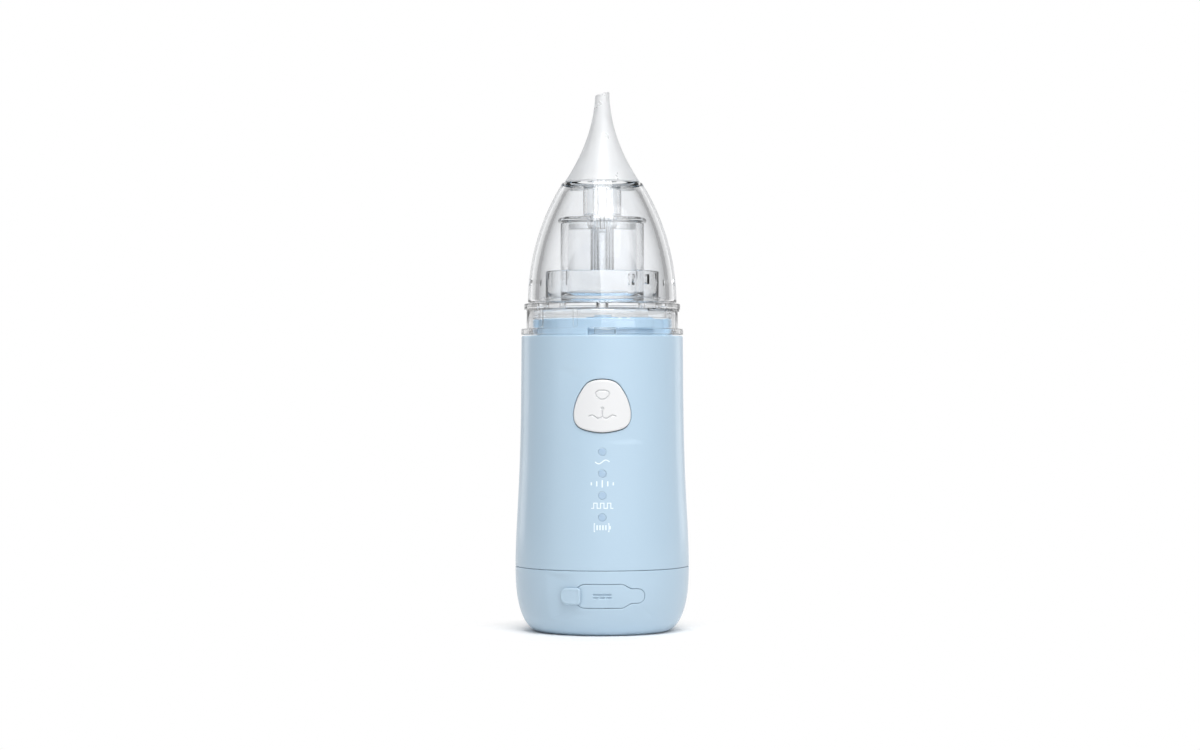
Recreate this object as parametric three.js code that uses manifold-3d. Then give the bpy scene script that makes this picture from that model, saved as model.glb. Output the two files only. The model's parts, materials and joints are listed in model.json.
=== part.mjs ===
// Battery nasal aspirator: a hand-held suction pump in a tapered casing, under a clear collection
// head with a soft nozzle. Millimetres, +Z up, origin at the middle of the base, buttons face -Y.
import * as THREE from 'three';
import { mergeVertices } from 'three/addons/utils/BufferGeometryUtils.js';
import Module from 'manifold-3d';

const wasm = await Module();
wasm.setup();

// ---- Driving dimensions -------------------------------------------------------------------

const fitGap = 0.3; // clearance left between pieces that touch or slide
const wallThickness = 2; // casing walls

// Casing
const baseRadius = 19; // flat ring that the aspirator stands on
const bellyRadius = 26; // widest radius, just above the seam
const shoulderRadius = 24.2; // radius at the top of the casing
const seamHeight = 19.25; // between base cap and casing
const casingTop = 88.2;
const neckRadius = 20.9;
const neckHeight = 5; // neck that stands above the casing
const bossRadius = 4.85; // suction boss and relief boss on top of the neck
const bossHeight = 1.6;

// Clear head
const skirtRadius = 22.7;
const lipRadius = 24.3;
const flangeRadius = 23.4;
const flangeThickness = 1.8;
const skirtHeight = 7.5; // from the lip's underside to the flange's underside
const lipHeight = 1.8;
const cradleRadius = 17; // upstanding wall round the collection cup
const cradleWall = 1.5;
const cradleHeight = 9.5;
const cupRadius = 12.5;
const cupWall = 2.1;
const cupHeight = 23.5;
const domeRadius = 22.3;
const domeTopRadius = 12;
const domeHeight = 35.9;
const domeWall = 3.1;
const domeCeiling = 1.9;
const spigotHeight = 6.4;
const inletRadius = 2.8;
const inletTipRadius = 2.45;
const inletBore = 1.25;
const lidThickness = 1.2;
const lidOverhang = 0.8; // how far the lid's rim stands out past the cup
const collarRadius = 5.7;
const collarWall = 1.1;
const sleeveRadius = 3.5;
const sleeveWall = 0.5;

// Nozzle
const nozzleHeight = 27.2;
const nozzleFootRadius = 11.3;
const nozzleTipRadius = 2.15;
const nozzleWall = 1.25;
const nozzleBore = 1.15;
const tipSlant = 0.28; // rise of the cut tip across its width

// Controls
const buttonWidth = 16.6;
const buttonHeight = 15.4;
const buttonCentre = 67.45;
const buttonProud = 0.6;
const buttonTravel = 0.5;
const windowRadius = 1.15;
const windowTop = 54.1; // height of the highest indicator
const windowPitch = 6.37;
const windowCount = 4;

// Charging port
const portHeight = 12; // height of the port's centre
const flapWidth = 20.1;
const flapHeight = 6.9;
const flapEndHeight = 4.2;
const flapThickness = 1.2;
const tabLength = 5.8;
const tabHeight = 4.9;
const tabProud = 1; // how far the pull tab stands off the cover
const socketWidth = 8.9;
const socketHeight = 3.2;

// Insides
const cellRadius = 7.1;
const cellLength = 50;
const motorRadius = 12;
const motorLength = 27;
const shaftRadius = 1;
const hoseRadius = 2.4;
const hoseBore = 1.3;
const boardWidth = 15;
const boardThickness = 1.2;
const leadRadius = 0.6;

// Roundness of turned pieces: sides of each size of circle
const bigSides = 28;
const midSides = 20;
const smallSides = 12;

// ---- Solids -------------------------------------------------------------------------------

// A three.js geometry as a closed solid, faces outwards.
function solidOf(geometry) {
  const bare = new THREE.BufferGeometry();
  bare.setAttribute('position', geometry.getAttribute('position'));
  if (geometry.index) bare.setIndex(geometry.index);
  const merged = mergeVertices(bare, 1e-4);
  const places = merged.getAttribute('position').array;
  const corners = merged.index.array;
  const a = new THREE.Vector3();
  const b = new THREE.Vector3();
  const c = new THREE.Vector3();
  const triVerts = [];
  let volume = 0;
  for (let i = 0; i < corners.length; i += 3) {
    const [p, q, r] = corners.slice(i, i + 3);
    if (p === q || q === r || r === p) continue;
    triVerts.push(p, q, r);
    a.fromArray(places, 3 * p);
    b.fromArray(places, 3 * q);
    c.fromArray(places, 3 * r);
    volume += a.dot(b.cross(c));
  }
  if (volume < 0) triVerts.reverse();
  const mesh = new wasm.Mesh({
    numProp: 3,
    vertProperties: new Float32Array(places),
    triVerts: new Uint32Array(triVerts),
  });
  return new wasm.Manifold(mesh);
}

function geometryOf(solid) {
  const mesh = solid.getMesh();
  const geometry = new THREE.BufferGeometry();
  geometry.setAttribute('position', new THREE.BufferAttribute(mesh.vertProperties, 3));
  geometry.setIndex(new THREE.BufferAttribute(mesh.triVerts, 1));
  geometry.computeVertexNormals();
  return geometry;
}

// A ring or body turned about Z from a list of [radius, height] points.
function turned(profile, sides = bigSides) {
  const points = profile.map(([radius, height]) => new THREE.Vector2(radius, height));
  const onAxis = profile[0][0] === 0 && profile.at(-1)[0] === 0;
  if (!onAxis) points.push(points[0].clone());
  return solidOf(new THREE.LatheGeometry(points, sides).rotateX(Math.PI / 2));
}

// A straight tube or rod about Z between two heights.
function tube(outer, inner, low, high, sides = bigSides) {
  if (inner === 0) return turned([[0, low], [outer, low], [outer, high], [0, high]], sides);
  return turned([[inner, low], [outer, low], [outer, high], [inner, high]], sides);
}

function block(width, depth, height, x = 0, y = 0, z = 0) {
  return solidOf(new THREE.BoxGeometry(width, depth, height).translate(x, y, z));
}

// A rod along Y, for pins and windows that face the user.
function rodAlongY(radius, near, far, x, z, sides = smallSides) {
  const rod = new THREE.CylinderGeometry(radius, radius, far - near, sides);
  return solidOf(rod.translate(x, (near + far) / 2, z));
}

// A flat outline in X and Z, pushed through from near to far along Y.
function plateAlongY(outline, near, far) {
  const settings = { depth: far - near, bevelEnabled: false };
  const body = new THREE.ExtrudeGeometry(new THREE.Shape(outline), settings);
  return solidOf(body.rotateX(Math.PI / 2).translate(0, far, 0));
}

// A flat outline in X and Y, raised from low to high along Z.
function plateAlongZ(outline, low, high) {
  const settings = { depth: high - low, bevelEnabled: false };
  const body = new THREE.ExtrudeGeometry(new THREE.Shape(outline), settings);
  return solidOf(body.translate(0, 0, low));
}

// A round lead or hose along a smooth line through the given points.
function lead(points, radius, steps, sides, bore = 0) {
  const path = new THREE.CatmullRomCurve3(points.map((point) => new THREE.Vector3(...point)));
  const section = new THREE.Shape(circleOutline(radius, sides));
  if (bore > 0) section.holes.push(new THREE.Path(circleOutline(bore, sides)));
  return solidOf(new THREE.ExtrudeGeometry(section, { steps, extrudePath: path, bevelEnabled: false }));
}

function circleOutline(radius, sides) {
  return Array.from({ length: sides }, (_, i) => {
    const turn = (2 * Math.PI * i) / sides;
    return new THREE.Vector2(radius * Math.cos(turn), radius * Math.sin(turn));
  });
}

function joined(...solids) {
  return solids.reduce((whole, part) => whole.add(part));
}

function cut(solid, ...tools) {
  return tools.reduce((left, tool) => left.subtract(tool), solid);
}

function piece(name, solid, color, roughness, metalness = 0) {
  const material = new THREE.MeshStandardMaterial({ color, roughness, metalness });
  const mesh = new THREE.Mesh(geometryOf(solid), material);
  mesh.name = name;
  return mesh;
}

function clearPiece(name, solid, color, opacity = 0.35) {
  const mesh = piece(name, solid, color, 0.08);
  mesh.material.transparent = true;
  mesh.material.opacity = opacity;
  return mesh;
}

function group(x, y, z, ...members) {
  const holder = new THREE.Group();
  holder.position.set(x, y, z);
  holder.add(...members);
  return holder;
}

const skyBlue = 0xb3cfe2;
const white = 0xf1f2f2;
const clear = 0xe9eef0;
const silicone = 0xe6e6e4;

// ---- Shapes that several pieces share -------------------------------------------------------

const bellyHeight = 20;
const taperShare = 0.25; // straight taper, the rest of the flare is eased in low down
const capFullness = 2.6; // squareness of the base cap's round bottom
const neckTop = casingTop + neckHeight;
const lipFoot = casingTop + fitGap;
const flangeFoot = lipFoot + skirtHeight;
const cradleFloor = flangeFoot + flangeThickness;
const inletTipHeight = cradleFloor + cradleHeight; // open lower end of the inlet tube
const domeFoot = cradleFloor + fitGap;
const domeTop = domeFoot + domeHeight;
const nozzleFoot = domeTop + fitGap;

// Outer radius of the casing: nearly straight at the shoulder, flaring to the belly.
function casingRadius(height) {
  const drop = (casingTop - height) / (casingTop - bellyHeight);
  const eased = (1 - Math.cos(Math.PI * drop ** 2)) / 2;
  return shoulderRadius + (bellyRadius - shoulderRadius) * (taperShare * drop + (1 - taperShare) * eased);
}

// Outer radius of the base cap, from the flat ring up to the seam.
function capRadius(height) {
  const rise = Math.sqrt(1 - (1 - height / bellyHeight) ** capFullness);
  return baseRadius + (bellyRadius - baseRadius) * rise;
}

// Outer and inner radius of the nozzle at a height above its foot.
function nozzleRadius(height) {
  return nozzleTipRadius + (nozzleFootRadius - nozzleTipRadius) * (1 - height / nozzleHeight) ** 2;
}

function nozzleInside(height) {
  const foot = nozzleFootRadius - nozzleWall;
  return nozzleBore + (foot - nozzleBore) * (1 - height / nozzleHeight) ** 2;
}

// Outer radius of the dome at a height above its foot: one ogive arc.
function domeRadiusAt(height) {
  const narrowing = domeRadius - domeTopRadius;
  const bend = (domeHeight ** 2 + narrowing ** 2) / (2 * narrowing);
  return domeRadius - bend + Math.sqrt(bend ** 2 - height ** 2);
}

function steps(count, make) {
  return Array.from({ length: count + 1 }, (_, i) => make(i / count));
}

function polar(radius, degrees) {
  const turn = THREE.MathUtils.degToRad(degrees);
  return new THREE.Vector2(radius * Math.cos(turn), radius * Math.sin(turn));
}

// A curved bar: part of a ring between two angles, in degrees from +X.
function arcBar(inner, outer, from, to, low, high, pieces = 8) {
  const outside = steps(pieces, (t) => polar(outer, from + (to - from) * t));
  const inside = steps(pieces, (t) => polar(inner, to + (from - to) * t));
  return plateAlongZ([...outside, ...inside], low, high);
}

// The button's outline: a rounded triangle, wide low down, grown all round by a margin.
function muzzleOutline(margin = 0) {
  const halfWidth = buttonWidth / 2 + margin;
  const height = buttonHeight + 2 * margin;
  const rightSide = [[0.49, 0.94], [0.8, 0.72], [0.945, 0.52], [1, 0.34], [0.93, 0.17], [0.66, 0.06]];
  const leftSide = rightSide.map(([x, z]) => [-x, z]).reverse();
  const low = buttonCentre - height / 2;
  const corners = [[0, 1], ...rightSide, [0, 0], ...leftSide]
    .map(([x, z]) => new THREE.Vector3(x * halfWidth, low + z * height, 0));
  const smooth = new THREE.CatmullRomCurve3(corners, true).getPoints(24);
  return smooth.slice(1).map((point) => new THREE.Vector2(point.x, point.y));
}

// The port cover's outline: a wide left part whose shoulders narrow to a round right end.
const flapLeft = -7.7;
const flapShoulder = flapLeft + flapWidth * 0.73;
const flapHinge = flapLeft + flapWidth * 0.87;
function flapOutline(margin = 0) {
  const half = flapHeight / 2 + margin;
  const endHalf = flapEndHeight / 2 + margin;
  const right = flapLeft + flapWidth + margin;
  const endCentre = right - endHalf;
  const roundEnd = steps(6, (t) => polar(endHalf, 90 - 180 * t)
    .add(new THREE.Vector2(endCentre, portHeight)));
  const left = flapLeft - margin;
  const corner = 2 + margin;
  const leftTop = steps(3, (t) => polar(corner, 90 + 90 * t)
    .add(new THREE.Vector2(left + corner, portHeight + half - corner)));
  const leftFoot = steps(3, (t) => polar(corner, 180 + 90 * t)
    .add(new THREE.Vector2(left + corner, portHeight - half + corner)));
  const taperEnd = flapShoulder + 1.4;
  return [
    ...roundEnd,
    new THREE.Vector2(taperEnd, portHeight - endHalf),
    new THREE.Vector2(flapShoulder - 1, portHeight - half),
    ...leftFoot.reverse(),
    ...leftTop.reverse(),
    new THREE.Vector2(flapShoulder - 1, portHeight + half),
    new THREE.Vector2(taperEnd, portHeight + endHalf),
  ];
}

// ---- Casing ---------------------------------------------------------------------------------

const seamLip = 3.2; // spigot of the base cap that goes up inside the casing
const standRing = 15.5; // inner edge of the ring that the aspirator stands on
const footRecess = 0.6;
const capFloor = 2.6;
const flapRadius = capRadius(portHeight); // outer face of the port cover
const recessRadius = flapRadius - flapThickness - fitGap;
const padFace = 2.47 - recessRadius; // inside face of the wall round the port
const screwCircle = 11;
const screwAngles = [90, 210, 330];
const screwHeadRadius = 2.5;
const screwHeadDepth = 0.9;
const screwRadius = 1.2;

function makeCasing() {
  const foot = seamHeight + fitGap;
  const outside = steps(7, (t) => foot + (casingTop - foot) * t).map((h) => [casingRadius(h), h]);
  const ceiling = casingTop - wallThickness;
  const inside = steps(4, (t) => ceiling + (foot - ceiling) * t)
    .map((h) => [casingRadius(h) - wallThickness, h]);
  const neckHole = neckRadius + fitGap;
  let casing = turned([...outside, [neckHole, casingTop], [neckHole, ceiling], ...inside]);
  casing = cut(casing, plateAlongY(muzzleOutline(fitGap), -bellyRadius - 1, 0));
  for (let i = 0; i < windowCount; i++) {
    const height = windowTop - i * windowPitch;
    casing = cut(casing, rodAlongY(windowRadius + fitGap, -bellyRadius - 1, -wallThickness, 0, height));
  }
  return piece('body_shell', casing, skyBlue, 0.42);
}

function capSolid() {
  const outside = steps(7, (t) => seamHeight * t * t).map((h) => [capRadius(h), h]);
  const lipOuter = casingRadius(seamHeight + seamLip) - wallThickness - fitGap;
  const lipInner = lipOuter - wallThickness;
  const inside = steps(4, (t) => seamHeight - (seamHeight - capFloor) * Math.sqrt(t))
    .map((h) => [Math.min(capRadius(h) - wallThickness, lipInner + 1), h]);
  return turned([
    [0, footRecess], [standRing - footRecess, footRecess], [standRing, 0],
    ...outside,
    [lipOuter, seamHeight], [lipOuter, seamHeight + seamLip], [lipInner, seamHeight + seamLip],
    ...inside,
    [0, capFloor],
  ]);
}

function makeBaseCap() {
  const padDepth = 5;
  const pad = block(socketWidth + 9, padDepth, socketHeight + 5.4, 0, padFace - padDepth / 2, portHeight)
    .intersect(tube(recessRadius + 0.3, 0, 0, bellyHeight));
  const recess = plateAlongY(flapOutline(fitGap), -bellyRadius - 1, 0)
    .subtract(tube(recessRadius, 0, 0, bellyHeight));
  const portWidth = socketWidth + 0.8;
  const portMiddle = padFace - bellyRadius / 2 + 2;
  const port = block(portWidth, bellyRadius, socketHeight + 0.6, 0.1, portMiddle, portHeight);
  const tabRoom = plateAlongY(tabOutline(fitGap), -bellyRadius - 1, -20)
    .subtract(tube(recessRadius, 0, 0, bellyHeight));
  let cap = cut(joined(capSolid(), pad), recess, port, tabRoom);
  for (const angle of screwAngles) {
    const spot = polar(screwCircle, angle);
    const hole = tube(screwRadius + fitGap, 0, -1, capFloor + 1, smallSides).translate(spot.x, spot.y, 0);
    const sink = tube(screwHeadRadius + fitGap, 0, -1, footRecess + screwHeadDepth + fitGap, smallSides)
      .translate(spot.x, spot.y, 0);
    cap = cut(cap, hole, sink);
  }
  const ventPitch = 2.8;
  for (let i = -2; i <= 2; i++) cap = cut(cap, block(1.4, 8, 8, i * ventPitch, 1, 0));
  return piece('base_cap', cap, skyBlue, 0.45);
}

const bayonetTwist = 54; // degrees from locked to free
const lugSpan = 16;
const lugStart = -6;
const lugSlack = 1.5;
const lugHeight = 1;
const grooveDepth = 1.3;
const reliefSpot = [10.5, 3];

function makeNeckPlate() {
  const underside = casingTop - wallThickness - fitGap;
  const rimRadius = casingRadius(underside) - wallThickness - fitGap;
  const inner = neckRadius - 2.6;
  const ceiling = neckTop - wallThickness;
  const rimFoot = underside - wallThickness;
  let plate = turned([
    [0, ceiling], [inner, ceiling], [inner, rimFoot], [rimRadius, rimFoot], [rimRadius, underside],
    [neckRadius, underside], [neckRadius, neckTop], [0, neckTop],
  ]);
  for (let i = 0; i < 3; i++) {
    const front = -90 + 120 * i;
    const from = front + lugStart - lugSlack;
    const to = front + lugStart + bayonetTwist + lugSpan + lugSlack;
    const slotFrom = to - lugSpan - 2 * lugSlack;
    const floor = casingTop + fitGap;
    const depth = neckRadius - grooveDepth;
    plate = cut(
      plate,
      arcBar(depth, neckRadius + 1, from, to, floor, floor + lugHeight + 2 * fitGap),
      arcBar(depth, neckRadius + 1, slotFrom, to, floor, neckTop + 1),
    );
  }
  const chamfer = 0.5;
  const bossTop = neckTop + bossHeight;
  const boss = turned([
    [0, neckTop - 0.5], [bossRadius, neckTop - 0.5], [bossRadius, bossTop - chamfer],
    [bossRadius - chamfer, bossTop], [0, bossTop],
  ], midSides);
  const nipple = tube(hoseRadius, 0, hoseTop + fitGap, neckTop - 0.5, smallSides);
  plate = joined(plate, boss, nipple, boss.translate(...reliefSpot, 0));
  const reliefHole = tube(1, 0, ceiling - 1, bossTop + 1, smallSides).translate(...reliefSpot, 0);
  const notch = block(1.2, 2 * bossRadius, bossHeight, reliefSpot[0] - 2.5, reliefSpot[1], bossTop + 0.5);
  plate = cut(
    plate,
    tube(hoseBore, 0, hoseTop - 1, bossTop + 1, smallSides),
    tube(grommetRadius + fitGap, 0, bossTop - grommetDepth, bossTop + 1, smallSides),
    reliefHole,
    notch,
  );
  return piece('neck_plate', plate, 0xa5c4da, 0.4);
}

const grommetRadius = 2.9;
const grommetDepth = 2.1;
const hoseTop = neckTop - 7.5;

function makeSuctionSeals() {
  const bossTop = neckTop + bossHeight;
  const pocket = bossTop - grommetDepth;
  const filter = tube(grommetRadius, 0, pocket + fitGap, pocket + fitGap + 0.5, smallSides);
  const grommetFoot = pocket + 2 * fitGap + 0.5;
  const grommet = tube(grommetRadius, hoseBore, grommetFoot, bossTop + 0.4, smallSides);
  return [
    piece('inlet_filter', filter, white, 0.9),
    piece('suction_grommet', grommet, silicone, 0.5),
  ];
}

// ---- Button, windows and port cover ----------------------------------------------------------

const boardFace = -14.4; // front face of the main board
const buttonBack = casingRadius(buttonCentre) - 3.47; // radius of the button's inner face
const switchDepth = 3.6;
const switchWidth = 6;
const plungerRadius = 1.6;
const plungerSink = 1.3; // how far the plunger's bore goes into the switch

function makeButton() {
  const face = casingRadius(buttonCentre) + buttonProud;
  const low = buttonCentre - buttonHeight;
  const high = buttonCentre + buttonHeight;
  const cap = plateAlongY(muzzleOutline(), -face - 1, -5).intersect(tube(face, buttonBack, low, high));
  const wallInside = casingRadius(casingTop) - wallThickness;
  const rim = plateAlongY(muzzleOutline(1.1), -face - 1, -5)
    .intersect(tube(wallInside - fitGap, buttonBack, low, high));
  return piece('power_button', joined(cap, rim), white, 0.35);
}

function makeSwitch() {
  const back = boardFace - fitGap;
  const front = back - switchDepth;
  const body = block(switchWidth, switchDepth, switchWidth, 0, (front + back) / 2, buttonCentre);
  const bore = rodAlongY(plungerRadius + fitGap, front - 1, front + plungerSink, 0, buttonCentre);
  const plunger = rodAlongY(
    plungerRadius, -buttonBack + fitGap, front + plungerSink - buttonTravel - fitGap, 0, buttonCentre,
  );
  return [
    piece('switch_body', cut(body, bore), 0x2a2c30, 0.5),
    piece('switch_plunger', plunger, 0xd8d9da, 0.4),
  ];
}

const pipeBar = [-17.6, -16.1]; // near and far face of the bar that joins the windows
function makeLightPipe() {
  const low = windowTop - (windowCount - 1) * windowPitch;
  const height = windowTop - low + 3;
  const [near, far] = pipeBar;
  let pipe = block(3.2, far - near, height, 0, (near + far) / 2, (windowTop + low) / 2);
  for (let i = 0; i < windowCount; i++) {
    const z = windowTop - i * windowPitch;
    pipe = joined(pipe, rodAlongY(windowRadius, -casingRadius(z) + 0.05, far, 0, z));
  }
  return clearPiece('light_pipe', pipe, 0xb7cddf, 0.8);
}

function makeIndicators() {
  const depth = -pipeBar[1] + boardFace - 2 * fitGap;
  return Array.from({ length: windowCount }, (_, i) => {
    const lamp = block(1.6, depth, 1, 0, boardFace - fitGap - depth / 2, windowTop - i * windowPitch);
    return piece(`led_${i + 1}`, lamp, 0xf4f1d8, 0.3);
  });
}

// The pull tab's outline: a short bar with round corners that stands off the casing.
function tabOutline(margin = 0) {
  const right = flapLeft + 1.5 + margin;
  const left = right - tabLength - 2 * margin;
  const half = tabHeight / 2 + margin;
  const corner = 1.6;
  const round = (x, z, from) => steps(3, (t) => polar(corner, from + 90 * t).add(new THREE.Vector2(x, z)));
  return [
    ...round(right - corner, portHeight + half - corner, 0),
    ...round(left + corner, portHeight + half - corner, 90),
    ...round(left + corner, portHeight - half + corner, 180),
    ...round(right - corner, portHeight - half + corner, 270),
  ];
}

function makePortCover() {
  const inner = flapRadius - flapThickness;
  const shell = tube(flapRadius, inner, 0, bellyHeight);
  const cover = plateAlongY(flapOutline(), -bellyRadius, -15).intersect(shell);
  const leftOfHinge = block(40, 4 * bellyRadius, 60, flapHinge - 20 - fitGap / 2, 0, 0);
  const tab = plateAlongY(tabOutline(), -bellyRadius, -15)
    .intersect(tube(flapRadius + tabProud, inner + 0.4, 0, bellyHeight));
  const plugReach = 1.9;
  const plug = block(socketWidth - 1.2, plugReach + 0.8, socketHeight - 0.6)
    .translate(-0.25, plugReach / 2 - inner, portHeight);
  const moving = joined(cover.intersect(leftOfHinge), tab, plug);
  const root = cut(cover, leftOfHinge.translate(fitGap, 0, 0));
  return [
    piece('port_flap', moving, 0xa9c8de, 0.6),
    piece('flap_anchor', root, 0xa9c8de, 0.6),
  ];
}

// ---- Clear head -----------------------------------------------------------------------------

function makeCupBase() {
  const skirtInner = neckRadius + fitGap + 0.1;
  const cradleTop = cradleFloor + cradleHeight;
  const cradleInner = cradleRadius - cradleWall;
  let base = turned([
    [0, flangeFoot], [skirtInner, flangeFoot], [skirtInner, lipFoot], [lipRadius, lipFoot],
    [lipRadius, lipFoot + lipHeight], [skirtRadius, lipFoot + lipHeight], [skirtRadius, flangeFoot],
    [flangeRadius, flangeFoot], [flangeRadius, cradleFloor], [cradleRadius, cradleFloor],
    [cradleRadius, cradleTop], [cradleInner, cradleTop], [cradleInner, cradleFloor], [0, cradleFloor],
  ]);
  const lugFoot = casingTop + 2 * fitGap;
  for (let i = 0; i < 3; i++) {
    const from = -90 + 120 * i + lugStart;
    const inner = neckRadius - grooveDepth + fitGap;
    const lug = arcBar(inner, skirtInner + 0.5, from, from + lugSpan, lugFoot, lugFoot + lugHeight, 4);
    base = joined(base, lug);
  }
  const thumbLug = arcBar(skirtRadius - 0.5, flangeRadius, -54, -10, flangeFoot - 0.7, flangeFoot + 0.5);
  base = joined(base, thumbLug);
  for (let i = 0; i < 4; i++) {
    const spot = polar((cupRadius + cradleInner) / 2, 45 + 90 * i);
    base = cut(base, tube(0.9, 0, flangeFoot - 1, cradleFloor + 1, smallSides).translate(spot.x, spot.y, 0));
  }
  for (const [angle, width, height] of [[182, 1, 4.2], [-40, 1, 2.9], [-60, 1.5, 3.2]]) {
    const slot = block(4, width, height, cradleRadius - 1, 0, cradleTop - 1.1 - height / 2);
    base = cut(base, slot.rotate(0, 0, angle));
  }
  base = cut(base, tube(hoseBore, 0, flangeFoot - 1, cradleFloor + 1, smallSides));
  return clearPiece('cup_base', base, clear);
}

function makeHeadSeals() {
  const gasket = tube(neckRadius, neckRadius - 2, neckTop + fitGap, flangeFoot - fitGap);
  const sealInner = cradleRadius + fitGap;
  const sealOuter = domeRadius - domeWall - fitGap;
  const seal = tube(sealOuter, sealInner, domeFoot, domeFoot + 1.5);
  return [
    clearPiece('cup_gasket', gasket, silicone, 0.6),
    clearPiece('dome_seal', seal, silicone, 0.6),
  ];
}

function makeCollectionCup() {
  const inner = cupRadius - cupWall;
  const cup = turned([
    [0, 0], [cupRadius, 0], [cupRadius, cupHeight], [inner, cupHeight],
    [inner, 2.4], [inner - 1, 1.5], [0, 1.5],
  ], midSides);
  return clearPiece('collection_cup', cup.translate(0, 0, domeFoot), clear);
}

const cupTop = domeFoot + cupHeight;
function makeSplashLid() {
  const rest = cupTop + fitGap;
  const plugRadius = cupRadius - cupWall - fitGap;
  const plugFoot = cupTop - 2.3;
  const rim = cupRadius + lidOverhang;
  const top = rest + lidThickness;
  const hole = inletRadius + fitGap + 0.05;
  const sleeveInner = sleeveRadius - sleeveWall;
  const ceiling = domeTop - domeCeiling;
  let lid = turned([
    [sleeveInner, inletTipHeight + fitGap], [sleeveRadius, inletTipHeight + fitGap],
    [sleeveRadius, plugFoot + 0.6], [plugRadius - 1, plugFoot], [plugRadius, plugFoot],
    [plugRadius, rest], [rim, rest], [rim, top - 0.5], [rim - 0.6, top],
    [collarRadius + 0.4, top + 0.5], [collarRadius, top + 1], [collarRadius, ceiling - fitGap],
    [collarRadius - collarWall, ceiling - fitGap], [collarRadius - collarWall, top + 0.3],
    [hole, top + 0.2], [hole, plugFoot + 1.2], [sleeveInner, plugFoot + 0.9],
  ], midSides);
  for (let i = 0; i < 4; i++) {
    const spot = polar(plugRadius - 0.9, 90 * i);
    lid = cut(lid, tube(0.7, 0, plugFoot - 1, top + 1, 8).translate(spot.x, spot.y, 0));
  }
  return clearPiece('splash_lid', lid, clear);
}

function makeDome() {
  const ceiling = domeHeight - domeCeiling;
  const tip = inletTipHeight - domeFoot;
  const neckDown = cupTop - domeFoot - 0.2;
  const spigotTop = domeHeight + spigotHeight;
  const spigot = (height) => nozzleInside(height - domeHeight - fitGap) - fitGap;
  const dome = turned([
    ...steps(7, (t) => [domeRadiusAt(domeHeight * t), domeHeight * t]),
    ...steps(2, (t) => domeHeight + fitGap + (spigotHeight - fitGap) * t).map((h) => [spigot(h), h]),
    [spigot(spigotTop) - 1.4, spigotTop], [2.3, domeHeight + 3.4], [1.8, domeHeight + 1.2],
    [inletBore, domeHeight], [inletBore, tip], [inletTipRadius, tip],
    [inletTipRadius, neckDown], [inletRadius, neckDown + 0.6], [inletRadius, ceiling],
    ...steps(6, (t) => ceiling * (1 - t)).map((h) => [domeRadiusAt(h) - domeWall, h]),
  ]);
  const snapHeight = 6;
  const window = block(2 * domeRadius + 2, 2, 1.8, 0, 0, snapHeight)
    .subtract(tube(domeRadius - domeWall - 1, 0, 0, domeHeight));
  return clearPiece('cup_dome', cut(dome, window).translate(0, 0, domeFoot), clear);
}

function makeNozzle() {
  const cone = turned([
    ...steps(8, (t) => [nozzleRadius(nozzleHeight * t), nozzleHeight * t]),
    ...steps(6, (t) => [nozzleInside(nozzleHeight * (1 - t)), nozzleHeight * (1 - t)]),
  ], midSides);
  const tilt = THREE.MathUtils.radToDeg(Math.atan(tipSlant));
  const knife = block(20, 20, 10, 0, 0, 5).rotate(0, -tilt, 0);
  const middle = nozzleHeight - nozzleTipRadius * tipSlant;
  const nozzle = cut(cone, knife.translate(0, 0, middle)).translate(0, 0, nozzleFoot);
  return clearPiece('nozzle', nozzle, silicone, 0.75);
}

// ---- Chassis, boards and charging -----------------------------------------------------------

const chassisFace = boardFace + boardThickness + fitGap;
const plateWidth = 26;
const plateDepth = 1.7;
const ribReach = 12.2; // from the middle of the chassis to each rib
const shelfFoot = 24;
const shelfTop = shelfFoot + wallThickness;
const boardLow = 28.5;
const boardHigh = casingTop - 10.2;
const chassisTop = casingTop - 8.2;
const boardScrews = [boardLow + 2.7, boardHigh - 2.6];
const gateReach = 9.5;
const lowGate = 34;
const leadGates = [ // holes in the chassis, x and z
  [-gateReach, boardHigh - 4], [-gateReach, lowGate], [gateReach, lowGate], [gateReach, lowGate + 6],
];
const cellSpot = [-12.3, 4.5];
const pumpSpot = [7.5, 4.5];

function makeChassis() {
  const back = chassisFace + plateDepth;
  const plate = block(plateWidth, plateDepth, chassisTop - shelfFoot)
    .translate(0, (chassisFace + back) / 2, (chassisTop + shelfFoot) / 2);
  const shelfRadius = casingRadius(shelfTop) - wallThickness - 2 * fitGap;
  const shelf = tube(shelfRadius, 0, shelfFoot, shelfTop)
    .subtract(block(60, 60, 20, 0, chassisFace - 30, shelfFoot));
  let chassis = joined(plate, shelf);
  for (const angle of screwAngles) {
    const spot = polar(screwCircle, angle);
    const post = tube(3, 0, capFloor + fitGap, shelfFoot + 1, smallSides).translate(spot.x, spot.y, 0);
    const hole = tube(screwRadius + fitGap, 0, 0, 14, smallSides).translate(spot.x, spot.y, 0);
    chassis = joined(chassis, post).subtract(hole);
  }
  for (const side of [-1, 1]) {
    const rib = block(1.5, 4, boardHigh - boardLow + 0.5)
      .translate(side * ribReach, back + 1.5, (boardHigh + boardLow - 0.5) / 2);
    chassis = joined(chassis, rib);
  }
  const motorSeat = tube(4, 0, shelfFoot - 1, shelfTop + 1, midSides).translate(...pumpSpot, 0);
  chassis = cut(chassis, motorSeat);
  for (const z of boardScrews) chassis = cut(chassis, rodAlongY(1.2, chassisFace - 1, back + 1, 0, z));
  for (const [x, z] of leadGates) {
    chassis = cut(chassis, rodAlongY(leadRadius + 0.9, chassisFace - 1, back + 1, x, z));
  }
  return piece('chassis', chassis, 0xdfe3e6, 0.55);
}

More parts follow.
